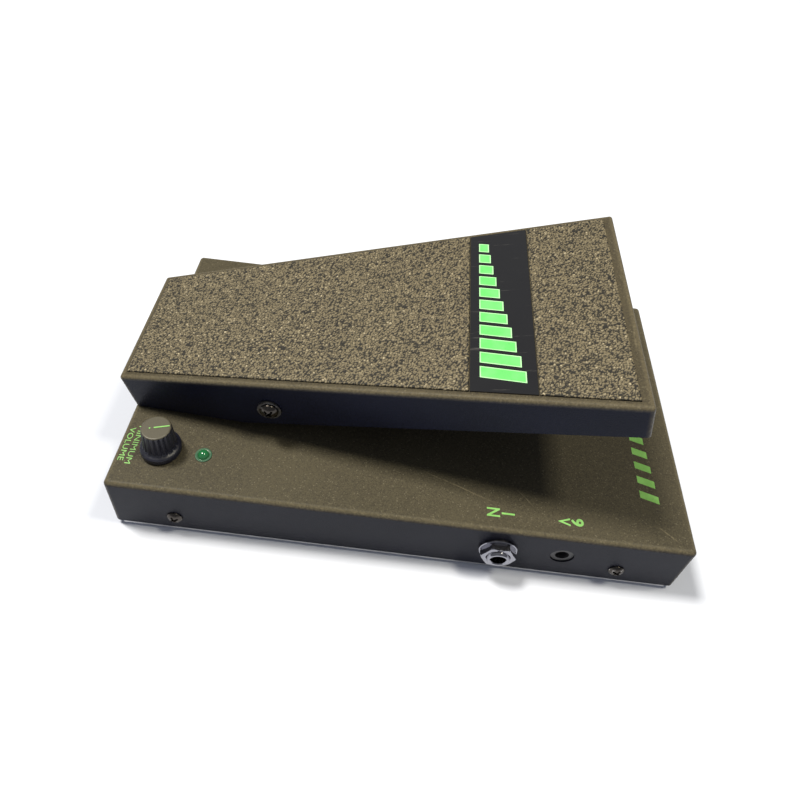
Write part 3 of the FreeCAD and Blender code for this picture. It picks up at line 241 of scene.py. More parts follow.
base_paint = powder_coat(
    "base_powder_coat", (0.008, 0.008, 0.013), (0.085, 0.074, 0.048), base_edges, cover_high.z,
    [((0.0095, -0.048), (0.043, -0.061), 0.0004, 0.8), ((0.050, -0.052), (0.058, -0.061), 0.0003, 0.7),
     ((0.108, -0.062), (0.116, -0.069), 0.0005, 0.9), ((-0.004, 0.052), (0.022, 0.060), 0.0003, 0.6),
     ((0.070, 0.064), (0.094, 0.051), 0.0004, 0.6), ((-0.110, 0.030), (-0.098, 0.047), 0.0003, 0.5)])
base_paint.cover("base_cover")


# Bottom plate and feet. The plate is 1 mm zinc-plated steel, left bare, with lugs that take the
# cover's screws. Four rubber feet with rounded rims are stuck under it.

def rolled_steel(name, colour, roughness, streak=(1, 18, 18), metallic=1.0):
    """Plated sheet steel with faint rolling lines and handling marks."""
    steel = Finish(name, colour, roughness, metallic=metallic)
    lines = steel.noise(0.004, 3, 0.6, steel.turned(scale=streak))
    marks = steel.noise(0.012, 4, 0.6)
    dull = tuple(c * 0.72 for c in colour)
    steel.wear(base_color=steel.blend(marks.step(0.3, 0.75), colour, dull),
               roughness=roughness - 0.1 + lines * 0.12 + marks * 0.12)
    steel.grain(lines, 0.00002)
    return steel


zinc_plate = rolled_steel("zinc_plated_sheet", (0.56, 0.56, 0.58), 0.4)
zinc_plate.cover("bottom_plate")


def moulded(name, colour, roughness, grain=0.0006, depth=0.00003, **constants):
    """Moulded rubber or plastic with a fine matt grain and slightly uneven colour."""
    plastic = Finish(name, colour, roughness, **constants)
    patches = plastic.noise(0.009, 3, 0.6)
    fine = plastic.noise(grain, 2, 0.6)
    light = tuple(min(1.0, c * 1.35 + 0.006) for c in colour)
    plastic.wear(base_color=plastic.blend(patches.step(0.3, 0.8), colour, light),
                 roughness=roughness - 0.08 + fine * 0.12 + patches * 0.06)
    plastic.grain(fine, depth)
    return plastic


def settle(piece, mesh_maker, finish, body, nodes, shade=38):
    """Turn a bmesh into a finished piece on a body, in place of CAD nodes."""
    bmesh.ops.remove_doubles(mesh_maker, verts=mesh_maker.verts, dist=1e-7)
    bmesh.ops.recalc_face_normals(mesh_maker, faces=mesh_maker.faces)
    mesh = bpy.data.meshes.new(piece)
    mesh_maker.to_mesh(mesh)
    mesh_maker.free()
    return dress(piece, mesh, finish, body, nodes, shade)


def dress(piece, mesh, finish, body, nodes, shade=38):
    """Put a mesh in the scene as a finished piece."""
    made = bpy.data.objects.new(piece, mesh)
    scene.collection.objects.link(made)
    mesh.materials.clear()
    mesh.materials.append(finish.material)
    mesh.shade_smooth()
    mesh.set_sharp_from_angle(angle=math.radians(shade))
    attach(made, body)
    if nodes:
        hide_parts(*nodes)
    return made


def turned(maker, profile, place=Matrix(), around=64, trim=None, lift=None):
    """A lathe-turned ring or solid. The profile is a list of (radius, height) in mm, and is closed on itself
    unless it starts on the axis."""
    rings = []
    for radius, height in profile:
        ring = []
        for step in range(1 if radius == 0 else around):
            angle = 2 * math.pi * step / around
            out = trim(angle, radius, height) if trim else radius
            rise = height + (lift(angle, out) if lift else 0)
            spot = Vector((out * math.cos(angle), out * math.sin(angle), rise))
            ring.append(maker.verts.new(place @ (spot * MM)))
        rings.append(ring)
    pairs = list(zip(rings, rings[1:]))
    if profile[0][0] != 0:
        pairs.append((rings[-1], rings[0]))
    for low, high in pairs:
        for step in range(around):
            after = (step + 1) % around
            corners = [low[step % len(low)], low[after % len(low)],
                       high[after % len(high)], high[step % len(high)]]
            faces = list(dict.fromkeys(corners))
            if len(faces) > 2:
                maker.faces.new(faces)


feet_low, feet_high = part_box("rubber_feet")
foot_rubber = moulded("foot_rubber", (0.018, 0.018, 0.019), 0.75, 0.0008, 0.00006)
foot_radius = 7 * MM
feet = bmesh.new()
for along in (feet_low.x + foot_radius, feet_high.x - foot_radius):
    for across in (feet_low.y + foot_radius, feet_high.y - foot_radius):
        turned(feet, [(0, 2), (7, 2), (7, 0.6), (6.8, 0.2), (6.4, 0), (4.6, 0), (4.3, 0.5), (0, 0.5)],
               Matrix.Translation((along, across, 0)))
settle("feet", feet, foot_rubber, "base", ["rubber_feet"])


# Screws. Pan-head machine screws with a cross recess, pressed and turned from steel and blackened;
# each has been driven to its own angle. One tree sets a screw at every place that is marked for it.

class Rule(Nodes):
    """A Geometry Nodes tree with named inputs. It ends by making instances real and giving them a finish."""

    def __init__(self, name, **inputs):
        tree = bpy.data.node_groups.new(name, "GeometryNodeTree")
        super().__init__(tree)
        tree.interface.new_socket("Geometry", in_out="INPUT", socket_type="NodeSocketGeometry")
        tree.interface.new_socket("Geometry", in_out="OUTPUT", socket_type="NodeSocketGeometry")
        for label, kind in inputs.items():
            tree.interface.new_socket(label, in_out="INPUT", socket_type="NodeSocket" + kind)
        self.given = tree.nodes.new("NodeGroupInput")

    def input(self, label):
        return Value(self, self.given.outputs[label])

    def finish(self, geometry):
        real = self.node("GeometryNodeRealizeInstances", None, {0: geometry})
        done = self.node("GeometryNodeSetMaterial", None,
                         {"Geometry": real, "Material": self.input("Finish")})
        out = self.tree.nodes.new("NodeGroupOutput")
        self.tree.links.new(done.socket, out.inputs[0])
        return self

    def grow(self, name, source, **inputs):
        """The plain mesh that the tree makes of a source mesh."""
        carrier = bpy.data.objects.new(name + "_source", source)
        scene.collection.objects.link(carrier)
        modifier = carrier.modifiers.new(name, "NODES")
        modifier.node_group = self.tree
        for item in self.tree.interface.items_tree:
            if item.in_out == "INPUT" and item.name in inputs:
                modifier[item.identifier] = inputs[item.name]
        bpy.context.view_layer.update()
        evaluated = carrier.evaluated_get(bpy.context.evaluated_depsgraph_get())
        mesh = bpy.data.meshes.new_from_object(evaluated)
        mesh.name = name
        carrier.modifiers.remove(modifier)
        bpy.data.objects.remove(carrier)
        return mesh


def place_marks(name, places):
    """A mesh of loose points, each with the turn that its instance takes."""
    marks = bpy.data.meshes.new(name)
    marks.from_pydata([tuple(at) for at, turn in places], [], [])
    turns = marks.attributes.new("turn", "FLOAT_VECTOR", "POINT")
    for index, (at, turn) in enumerate(places):
        turns.data[index].vector = tuple(turn)
    return marks


def facing(out, spin):
    """The turn that points +Z along a direction, after a spin about it."""
    return (Vector(out).to_track_quat("Z", "Y") @ Euler((0, 0, spin)).to_quaternion()).to_euler()


set_screws = Rule("set_screws", Screw="Object", Finish="Material")
turn_of_each = set_screws.node("GeometryNodeInputNamedAttribute", {"data_type": "FLOAT_VECTOR"},
                               {"Name": "turn"})
pattern_screw = set_screws.node("GeometryNodeObjectInfo", {"transform_space": "ORIGINAL"},
                                {"Object": set_screws.input("Screw"), "As Instance": True}, "Geometry")
set_screws.finish(set_screws.node(
    "GeometryNodeInstanceOnPoints", None,
    {"Points": set_screws.input("Geometry"), "Instance": pattern_screw,
     "Rotation": set_screws.node("FunctionNodeEulerToRotation", None, {0: turn_of_each})}))


def pan_screw_shape(name, radius, rise, shank, length):
    """One pan-head screw with its seat at the origin and its head along +Z."""
    dome = (radius ** 2 + rise ** 2) / (2 * rise) * 1.15
    arm, width, depth = radius * 0.6, radius * 0.15, rise * 0.62

    def recess(angle, out):
        if out > arm * 1.05:
            return 0
        x, y = abs(math.cos(angle) * out), abs(math.sin(angle) * out)
        if y > x:
            x, y = y, x
        inside = min((arm - x) / (radius * 0.12), (width * (1.25 - x / arm * 0.5) - y) / (radius * 0.05), 1)
        core = min((radius * 0.22 - out) / (radius * 0.05), 1)
        return -depth * max(0, inside, core) * (1 - 0.35 * x / arm)

    profile = [(0, -length), (shank * 0.8, -length), (shank, -length + 0.4)]
    turns = int(length * 2)
    for step in range(turns):
        low = -length + 0.5 + step * (length - 0.6) / turns
        profile += [(shank, low), (shank * 0.86, low + (length - 0.6) / turns * 0.5)]
    profile += [(shank, 0), (radius - 0.25, 0), (radius, 0.18)]
    edge = rise - (dome - math.sqrt(dome ** 2 - radius ** 2))
    profile += [(radius, edge * 0.8)]
    for share in (0.985, 0.95, 0.88, 0.8, 0.72, 0.66, 0.62, 0.59, 0.56, 0.52, 0.47, 0.42,
                  0.36, 0.31, 0.27, 0.24, 0.21, 0.18, 0.15, 0.12, 0.08, 0.04):
        out = radius * share
        profile.append((out, rise - (dome - math.sqrt(dome ** 2 - out ** 2))))
    maker = bmesh.new()
    turned(maker, profile + [(0, rise)], around=96,
           lift=lambda angle, out: recess(angle, out) if out < radius * 0.63 else 0)
    for vertex in maker.verts:
        if math.hypot(vertex.co.x, vertex.co.y) < 1e-9 and vertex.co.z > 0:
            vertex.co.z = (rise - depth) * MM
    bmesh.ops.recalc_face_normals(maker, faces=maker.faces)
    mesh = bpy.data.meshes.new(name)
    maker.to_mesh(mesh)
    maker.free()
    pattern = bpy.data.objects.new(name, mesh)
    scene.collection.objects.link(pattern)
    return pattern


def blackened(name, colour, roughness):
    """Blackened steel: dark, glossy, with bright rubbed spots."""
    steel = Finish(name, colour, roughness, metallic=1.0)
    rubs = steel.noise(0.0016, 3, 0.6)
    smears = steel.noise(0.006, 3, 0.6)
    bright = rubs.step(0.58, 0.68) * 0.4
    dark = steel.blend(smears, colour, tuple(c * 2 for c in colour))
    bare_steel = (0.62, 0.6, 0.58)
    steel.wear(base_color=steel.blend(bright, dark, bare_steel),
               roughness=roughness - 0.06 + smears * 0.2)
    steel.grain(rubs, 0.00002)
    return steel


def drive_screws(piece, node, body, pattern, places, finish):
    """A screw like the pattern at every place, as one piece."""
    marks = place_marks(piece + "_marks", places)
    mesh = set_screws.grow(piece, marks, Screw=pattern, Finish=finish.material)
    bpy.data.objects.remove(pattern)
    return dress(piece, mesh, finish, body, [node])


screw_black = blackened("blackened_screws", (0.045, 0.040, 0.036), 0.2)
screw_low, screw_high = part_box("cover_screws")
screw_seat = cover_half.y
side_head = 3.4
turns = random.Random(7)
cover_places = [((along, side * screw_seat, (screw_low.z + screw_high.z) / 2),
                 facing((0, side, 0), turns.uniform(0, math.pi / 2)))
                for along in (screw_low.x + side_head * MM, screw_high.x - side_head * MM)
                for side in (-1, 1)]
drive_screws("side_screws", "cover_screws", "base",
             pan_screw_shape("side_screw", radius=side_head, rise=2.0, shank=1.5, length=8.0),
             cover_places, screw_black)


# Pivot. A black-plated channel is riveted on the cover. Its two ears carry the treadle on shoulder
# screws, with a nylon washer and a locking nut inside each, and a dark steel collar in each treadle side.

bracket_steel = rolled_steel("black_zinc", (0.05, 0.05, 0.055), 0.45, metallic=0.8)
bracket_steel.cover("pivot_bracket")
rivet_metal = rolled_steel("rivet_aluminium", (0.6, 0.6, 0.6), 0.38, (6, 6, 6))
rivet_metal.cover("bracket_rivets", "shutter_rivets")
nickel = rolled_steel("bright_nickel", (0.64, 0.62, 0.58), 0.26, (4, 4, 4))
nickel.cover("pivot_nuts")
blackened("dark_collars", (0.09, 0.09, 0.095), 0.3).cover("pivot_bushes")
friction_plastic = moulded("natural_nylon", (0.72, 0.71, 0.66), 0.42, 0.0008, 0.00002)
friction_plastic.cover("friction_washers")
pivot_low, pivot_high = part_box("pivot_screws")
shoulder_rise = 2.4
pivot_out = pivot_high.y - shoulder_rise * MM
pivot_places = [(((pivot_low.x + pivot_high.x) / 2, side * pivot_out, (pivot_low.z + pivot_high.z) / 2),
                 facing((0, side, 0), turns.uniform(0, math.pi / 2))) for side in (-1, 1)]
drive_screws("shoulder_screws", "pivot_screws", "base",
             pan_screw_shape("shoulder_screw", radius=3.9, rise=shoulder_rise, shank=2.0, length=18.0),
             pivot_places, screw_black)


# Light shutter. The treadle's curved blade slides between a small lamp and a light cell in a dark
# moulded housing, so that nothing rubs and the volume changes without crackle.

dark_plastic = moulded("dark_moulding", (0.022, 0.022, 0.024), 0.48)
dark_plastic.cover("light_sensor_housing", "shutter_blade", "pot_body", "input_jack_body", "output_jack_body",
                   "power_jack", "battery_bay", "battery_snap", "amplifier_chips")
cell_resin = moulded("cell_resin", (0.5, 0.22, 0.1), 0.35, 0.0012)
cell_resin.cover("light_cell")
lens_green = moulded("lamp_epoxy", (0.05, 0.45, 0.12), 0.2, 0.002, 0.00001)
lens_green.cover("sensor_lamp")


# Stops. A tall rubber post under the heel and a low one under the toe end the treadle's travel.

stop_rubber = moulded("stop_rubber", (0.02, 0.02, 0.02), 0.7, 0.0009, 0.00006)
stop_rubber.cover("heel_stop", "toe_stop")
screw_black.cover("heel_stop_screw")
nickel.cover("heel_stop_nut")


# Plug jacks. Quarter-inch jacks with a threaded bushing through each side, a flat washer and a hex
# nut with its corners turned off, all bright nickel-chrome plate.

chrome = rolled_steel("nickel_chrome", (0.33, 0.33, 0.37), 0.14, (5, 5, 5))
bushing_low, bushing_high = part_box("input_jack_bushing")
jack_across = (bushing_low.x + bushing_high.x) / 2
jack_up = (bushing_low.z + bushing_high.z) / 2


def jack_side(side):
    """The jack's own frame: its seat on the cover, with +Z pointing out of that side."""
    return (Matrix.Translation((jack_across, side * cover_half.y, jack_up))
            @ facing((0, side, 0), math.radians(30)).to_matrix().to_4x4())


def hexagonal(angle, radius, height):
    """A hex nut's radius, with its corners turned off by the profile."""
    half_flats = 6.5
    flat = (angle + math.pi / 6) % (math.pi / 3) - math.pi / 6
    return min(radius, half_flats / math.cos(flat)) if radius > 5 else radius


crest, root, pitch = 4.75, 4.42, 0.75
thread = []
for step in range(7):
    thread += [(crest, -0.2 + step * pitch), (root, 0.17 + step * pitch)]
bushing_profile = ([(3.2, -1.2), (crest, -1.2)] + thread[:-1]
                   + [(4.5, 5.15), (4.25, 5.4), (3.55, 5.4), (3.2, 5.05)])
washer_profile = [(4.8, 0), (7.8, 0), (8, 0.2), (8, 1.05), (7.75, 1.3), (4.8, 1.3)]
nut_profile = [(crest, 1.3), (6.9, 1.3), (7.5, 1.6), (7.5, 3.8), (7.1, 4.15), (6.45, 4.3), (5.2, 4.3),
               (crest, 4.0)]
for side, name in ((-1, "input"), (1, "output")):
    bushing = bmesh.new()
    turned(bushing, bushing_profile, jack_side(side), 72)
    settle(name + "_bushing", bushing, chrome, "base", [name + "_jack_bushing"])
washers, nuts = bmesh.new(), bmesh.new()
for side in (-1, 1):
    turned(washers, washer_profile, jack_side(side), 72)
    turned(nuts, nut_profile, jack_side(side), 96, hexagonal)
settle("washers", washers, chrome, "base", ["jack_washers"])
settle("nuts", nuts, chrome, "base", ["jack_nuts"], 25)
nickel.cover("power_jack_pin")


# Minimum-volume control. The pot hangs under the cover by its nut, and a fluted knob with a
# turned skirt is pressed on its shaft. Its pointer line is filled with bright green paint.

nickel.cover("pot_washer", "pot_nut", "pot_shaft")
knob_low, knob_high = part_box("minimum_volume_knob")
knob_foot = ((knob_low.x + knob_high.x) / 2, (knob_low.y + knob_high.y) / 2, knob_low.z)
knob_place = Matrix.Translation(knob_foot) @ Matrix.Rotation(math.radians(17), 4, "Z")


def fluted(angle, radius, height):
    """Shallow rounded grooves along the knob's grip."""
    low, high, grooves, depth = 3.3, 14.1, 18, 0.62
    if not low < height < high or radius < 5.9:
        return radius
    wave = (1 + math.cos(grooves * angle)) / 2
    return radius - depth * wave ** 2.2 * min(1, (height - low) / 0.5) * min(1, (high - height) / 0.35)


knob_plastic = moulded("knob_plastic", (0.010, 0.011, 0.020), 0.4, 0.0005, 0.00002)
knob = bmesh.new()
grip = [(6.9 - 0.62 * share, 3.5 + 10.2 * share) for share in (0, 0.04, 0.08, 0.2, 0.4, 0.6, 0.8, 0.95, 1)]
skirt = [(0, 11), (3, 11), (3, 3.4), (6.1, 3.4), (6.1, 0), (8.2, 0), (8.5, 0.25), (8.5, 1.8), (8.42, 2.3),
         (8.15, 2.7), (7.7, 2.95), (7.3, 3.15)]
crown = [(6.1, 14.05), (5.85, 14.3), (5.55, 14.4), (5.3, 14.4), (4, 14.4), (2, 14.4), (0, 14.4)]
turned(knob, skirt + grip + crown, knob_place, 216, fluted)
knob_up = knob_plastic.axes()[2]
knob_top = knob_up.step(knob_high.z - 0.6 * MM, knob_high.z - 0.1 * MM)
# The knob's top is painted lighter, partly as dust and partly as painted light.
knob_top_dust_and_light = knob_top * (0.75 + knob_plastic.noise(0.0006) * 0.5)
knob_plastic.wear(base_color=knob_plastic.blend(knob_top_dust_and_light, (0.010, 0.011, 0.022), (0.072, 0.064, 0.043)))
settle("knob", knob, knob_plastic, "knob", ["minimum_volume_knob"], 50)


def bright_print(name, colour):
    """Screen-printed ink: even, slightly glossy, with small pinholes and paler, thicker patches."""
    ink = Finish(name, colour, 0.4)
    pores = ink.noise(0.0006, 2, 0.6)
    patches = ink.noise(0.006, 2, 0.5)
    pale = tuple(min(1.0, c * 1.15 + 0.02) for c in colour)
    tone = ink.blend(patches.step(0.35, 0.7), colour, pale)
    ink.wear(base_color=ink.blend(pores.step(0.62, 0.75) * 0.5, tone, tuple(c * 0.4 for c in colour)),
             roughness=0.32 + pores * 0.2)
    ink.grain(pores, 0.00002)
    return ink


legend_ink = bright_print("green_print", (0.20, 0.47, 0.12))
legend_ink.cover("knob_pointer")


def printed_words(piece, lines, up):
    """Plain words and letters printed on the base, with their tops towards the toe."""
    maker = bmesh.new()
    for words, along, across, height, width, weight in lines:
        curve = bpy.data.curves.new(piece, "FONT")
        curve.body, curve.resolution_u = words, 3
        curve.align_x, curve.align_y = "CENTER", "CENTER"
        curve.size, curve.extrude, curve.offset = 1, 0.02, weight
        word = bpy.data.objects.new(piece, curve)
        scene.collection.objects.link(word)
        bpy.context.view_layer.update()
        evaluated = word.evaluated_get(bpy.context.evaluated_depsgraph_get())
        flat = bpy.data.meshes.new_from_object(evaluated)
        bpy.data.objects.remove(word)
        low = [min(v.co[axis] for v in flat.vertices) for axis in (0, 1)]
        high = [max(v.co[axis] for v in flat.vertices) for axis in (0, 1)]
        for vertex in flat.vertices:
            right = (vertex.co.x - (low[0] + high[0]) / 2) / (high[0] - low[0]) * width
            top = (vertex.co.y - (low[1] + high[1]) / 2) / (high[1] - low[1]) * height
            rise = 0.05 * MM if vertex.co.z > 0 else -0.02 * MM
            vertex.co = (along + top * MM, across - right * MM, up + rise)
        maker.from_mesh(flat)
        bpy.data.meshes.remove(flat)
    return maker


legends = printed_words("legends", [
    ("MINIMUM", -0.1119, -0.0529, 2.4, 19.2, 0.0), ("VOLUME", -0.1153, -0.0529, 2.4, 16.9, 0.0),
    ("I", 0.0462, -0.0648, 5.4, 0.85, 0.0), ("N", 0.0401, -0.0647, 5.4, 4.0, 0.02),
    ("9", 0.0746, -0.0649, 5.2, 3.6, 0.03), ("V", 0.0692, -0.0652, 4.9, 3.6, 0.02)], cover_high.z)
settle("legends", legends, legend_ink, "base", [])


# Status lamp. A green 5 mm epoxy lamp with a domed end, held in a snap-in rim of dark green plastic.

lamp_low, lamp_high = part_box("status_lamp")
lamp_seat = ((lamp_low.x + lamp_high.x) / 2, (lamp_low.y + lamp_high.y) / 2, cover_high.z)
lamp_place = Matrix.Translation(lamp_seat)
lamp_rise = (lamp_high.z - cover_high.z) / MM
lamp_radius = 2.5
lamp_dome = [(lamp_radius * math.cos(a), lamp_rise - lamp_radius + lamp_radius * math.sin(a))
             for a in (math.radians(10 * step) for step in range(1, 9))]
lamp = bmesh.new()
turned(lamp, [(0, -5), (lamp_radius, -5), (lamp_radius, 0)] + lamp_dome + [(0, lamp_rise)], lamp_place, 64)
lamp_epoxy = Finish("lamp_green_epoxy", (0.02, 0.30, 0.06), 0.12, coat_weight=0.8, coat_roughness=0.06,
                    emission_strength=0.03)
lamp_epoxy.shader.inputs["Emission Color"].default_value = (0.10, 0.75, 0.22, 1)
lamp_cloud = lamp_epoxy.noise(0.003, 2, 0.5)
lamp_epoxy.wear(base_color=lamp_epoxy.blend(lamp_cloud, (0.008, 0.09, 0.03), (0.02, 0.17, 0.06)),
                roughness=0.1 + lamp_cloud * 0.1)
settle("status_light", lamp, lamp_epoxy, "base", ["status_lamp"])
rim = bmesh.new()
rim_profile = [(2.52, -1.2), (3.1, -1.2), (3.1, 0), (3.5, 0), (3.5, 0.3), (3.35, 0.46), (3.0, 0.5),
               (2.52, 0.4)]
turned(rim, rim_profile, lamp_place, 64)
rim_plastic = moulded("lamp_rim_plastic", (0.03, 0.09, 0.05), 0.3)
settle("lamp_rim", rim, rim_plastic, "base", ["lamp_bezel"])


# Circuit board. A green fibreglass board on nylon pillars carries the amplifier chips and their parts.

board_green = Finish("solder_mask", (0.03, 0.2, 0.07), 0.35)
tracks = board_green.cells(0.006, "DISTANCE_TO_EDGE")
over_copper, over_board = (0.07, 0.32, 0.13), (0.02, 0.16, 0.06)
board_green.wear(base_color=board_green.blend(tracks.step(0.05, 0.09), over_copper, over_board),
                 roughness=0.3 + board_green.noise(0.004) * 0.15)
board_green.grain(tracks.step(0.05, 0.09), 0.00004)
board_green.cover("circuit_board")
friction_plastic.cover("board_standoffs")
nickel.cover("board_screws")
moulded("can_sleeve", (0.03, 0.05, 0.12), 0.3).cover("electrolytic_capacitors")
moulded("dipped_film", (0.5, 0.07, 0.05), 0.22).cover("film_capacitors")
moulded("tan_lacquer", (0.6, 0.48, 0.3), 0.3).cover("resistors")


# Battery. A nine-volt block with a snap connector sits in a bay behind a plastic door in the plate.

moulded("battery_wrap", (0.07, 0.07, 0.08), 0.3, 0.0015).cover("battery")
moulded("door_plastic", (0.03, 0.03, 0.032), 0.5, 0.0005, 0.00006).cover("battery_door")
foam = Finish("open_foam", (0.06, 0.06, 0.06), 0.95)
foam_cells = foam.cells(0.0009)
foam.wear(base_color=foam.blend(foam_cells.step(0.2, 0.7), (0.025, 0.025, 0.025), (0.11, 0.11, 0.11)))
foam.grain(foam_cells, 0.0004)
foam.cover("door_foam")


# Wires. Thin stranded wires in coloured sleeves join the board to everything else.

for sleeve, colour in (("red", (0.5, 0.03, 0.03)), ("white", (0.7, 0.7, 0.67)), ("grey", (0.28, 0.28, 0.3)),
                       ("green", (0.05, 0.36, 0.1)), ("black", (0.02, 0.02, 0.02))):
    sleeve_finish = moulded("sleeve_" + sleeve, colour, 0.38, 0.002, 0.00001)
    for leads in ("battery_leads", "jack_leads", "control_leads", "lamp_leads", "power_leads"):
        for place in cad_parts[leads].material_slots:
            if place.material and sleeve in place.material.name:
                place.material = sleeve_finish.material


# Treadle shell. A tray folded from 1.5 mm steel, wider at the toe, with sides that reach down to the
# pivot. It has the base's powder coat, with a painted brown highlight along the bends and a top painted
# lighter for dust and light.

TILT = math.radians(13.1)
HINGE_LEVEL = Vector((0.002, 0, 0.0791))
treadle_frame = Matrix.Translation(HINGE_LEVEL) @ Matrix.Rotation(-TILT, 4, "Y")
flat_view = treadle_frame.inverted()


def treadle_corners(node):
    """A treadle piece's ends and its half-widths there, measured in the treadle's own frame."""
    points = [flat_view @ v.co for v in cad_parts[node].data.vertices]
    ends = min(p.x for p in points), max(p.x for p in points)
    halves = [max(abs(p.y) for p in points if abs(p.x - end) < 0.0035) for end in ends]
    return ends, halves, max(p.z for p in points)


(heel_end, toe_end), (heel_half, toe_half), _ = treadle_corners("treadle_shell")
spread = (toe_half - heel_half) / (toe_end - heel_end)


def treadle_edges(along, across, up):
    """How near a point is to one of the treadle's bends."""
    side = heel_half + (along - heel_end) * spread - abs(across)
    end = (along - heel_end).least(toe_end - along)
    nearest = (end.least(side).most(0) + abs(up)).least(end.most(0) + side.most(0))
    return 1 - nearest.step(0.0008, 0.0026)


# The treadle's top rims get the painted dust and top light, and its bends the painted brown highlight.
treadle_paint = powder_coat(
    "treadle_powder_coat", (0.005, 0.006, 0.014), (0.085, 0.072, 0.046), treadle_edges, 0,
    [((0.0825, -0.030), (0.0835, -0.012), 0.0006, 0.6), ((-0.127, -0.010), (-0.1262, 0.014), 0.0006, 0.6)],
    (0, TILT, 0), flat_view.to_translation())
treadle_paint.cover("treadle_shell")


# Grip mats. Two sheets of brown-grey rubber with a pebbled face, cut to the treadle's taper and
# stuck down. The tips of the pebbles are painted pale, partly as wear from shoes and partly as a painted
# highlight, and the pits between them are painted dark as shade.

pebbled = Rule("pebbled_rubber", Pebble="Float", Relief="Float", Rim="Float", Start="Float", End="Float",
               StartHalf="Float", EndHalf="Float", Thickness="Float", Seed="Float", Finish="Material")
spot = pebbled.node("GeometryNodeInputPosition")
run, out, level = [pebbled.node("ShaderNodeSeparateXYZ", None, {0: spot}, axis) for axis in range(3)]
pebble = pebbled.input("Pebble")
moved = pebbled.node("ShaderNodeVectorMath", {"operation": "ADD"}, {0: spot, 1: pebbled.node(
    "ShaderNodeCombineXYZ", None, {0: pebbled.input("Seed")})})
wander = pebbled.node("ShaderNodeTexNoise", None,
                      {"Vector": moved, "Scale": 0.7 / pebble, "Detail": 1.0}, "Color")
wandering = pebbled.node("ShaderNodeVectorMath", {"operation": "SCALE"}, {0: wander, "Scale": pebble * 1.1})
drifted = pebbled.node("ShaderNodeVectorMath", {"operation": "ADD"}, {0: moved, 1: wandering})
lumps = pebbled.node("ShaderNodeTexVoronoi", {"feature": "DISTANCE_TO_EDGE"},
                     {"Vector": drifted, "Scale": 1 / pebble}, "Distance")
which = pebbled.node("ShaderNodeTexVoronoi", {"feature": "F1"},
                     {"Vector": drifted, "Scale": 1 / pebble}, "Color")
pick = pebbled.node("ShaderNodeSeparateXYZ", None, {0: which})
swell = pebbled.node("ShaderNodeTexNoise", None, {"Vector": moved, "Scale": 0.16 / pebble, "Detail": 2.0})
relief = lumps.step(0.03, 0.38) * (0.42 + pick * 0.62) * (0.8 + swell * 0.4)
half_here = pebbled.input("StartHalf") + (run - pebbled.input("Start")) * (
    (pebbled.input("EndHalf") - pebbled.input("StartHalf")) / (pebbled.input("End") - pebbled.input("Start")))
inset = (half_here - abs(out)).least(run - pebbled.input("Start")).least(pebbled.input("End") - run).most(0)
edge_fall = 1 - (inset / pebbled.input("Rim")).least(1)
face = level.step(0.0001, 0.0002)
drop = face * ((1 - relief.least(1)) * pebbled.input("Relief") * (inset / pebbled.input("Rim")).least(1)
               + edge_fall * edge_fall * pebbled.input("Relief") * 1.2)
kept = pebbled.node("GeometryNodeStoreNamedAttribute", {"data_type": "FLOAT", "domain": "POINT"},
                    {"Geometry": pebbled.input("Geometry"), "Name": "pebble_rise", "Value": relief * face})
shifted = pebbled.node("GeometryNodeSetPosition", None, {"Geometry": kept, "Offset": pebbled.node(
    "ShaderNodeCombineXYZ", None, {2: drop * -1})})
pebbled.finish(shifted)


def mat_blank(name, ends, halves, thickness, cell):
    """A closed tapered sheet whose upper face is a fine grid."""
    rows = round((ends[1] - ends[0]) / cell)
    columns = round((halves[0] + halves[1]) / cell)
    points, faces = [], []
    for row in range(rows + 1):
        share = row / rows
        along = ends[0] + (ends[1] - ends[0]) * share
        half = halves[0] + (halves[1] - halves[0]) * share
        points += [(along, half * (2 * column / columns - 1), thickness) for column in range(columns + 1)]
    wide = columns + 1
    for row in range(rows):
        for column in range(columns):
            corner = row * wide + column
            faces.append((corner, corner + wide, corner + wide + 1, corner + 1))
    rim = list(range(columns + 1))
    rim += [row * wide + columns for row in range(1, rows + 1)]
    rim += [rows * wide + column for column in range(columns - 1, -1, -1)]
    rim += [row * wide for row in range(rows - 1, 0, -1)]
    under = {}
    for index in rim:
        under[index] = len(points)
        points.append((points[index][0], points[index][1], 0))
    for first, second in zip(rim, rim[1:] + rim[:1]):
        faces.append((first, second, under[second], under[first]))
    faces.append(tuple(under[index] for index in rim))
    mesh = bpy.data.meshes.new(name)
    mesh.from_pydata(points, [], faces)
    return mesh


grip_rubber = Finish("pebbled_grip_rubber", (0.12, 0.10, 0.065), 0.6)
rise = grip_rubber.node("ShaderNodeAttribute", {"attribute_name": "pebble_rise"}, give="Fac")
tip_patch = grip_rubber.noise(0.03, 3, 0.6)
crumbs = grip_rubber.noise(0.0005, 2, 0.7)
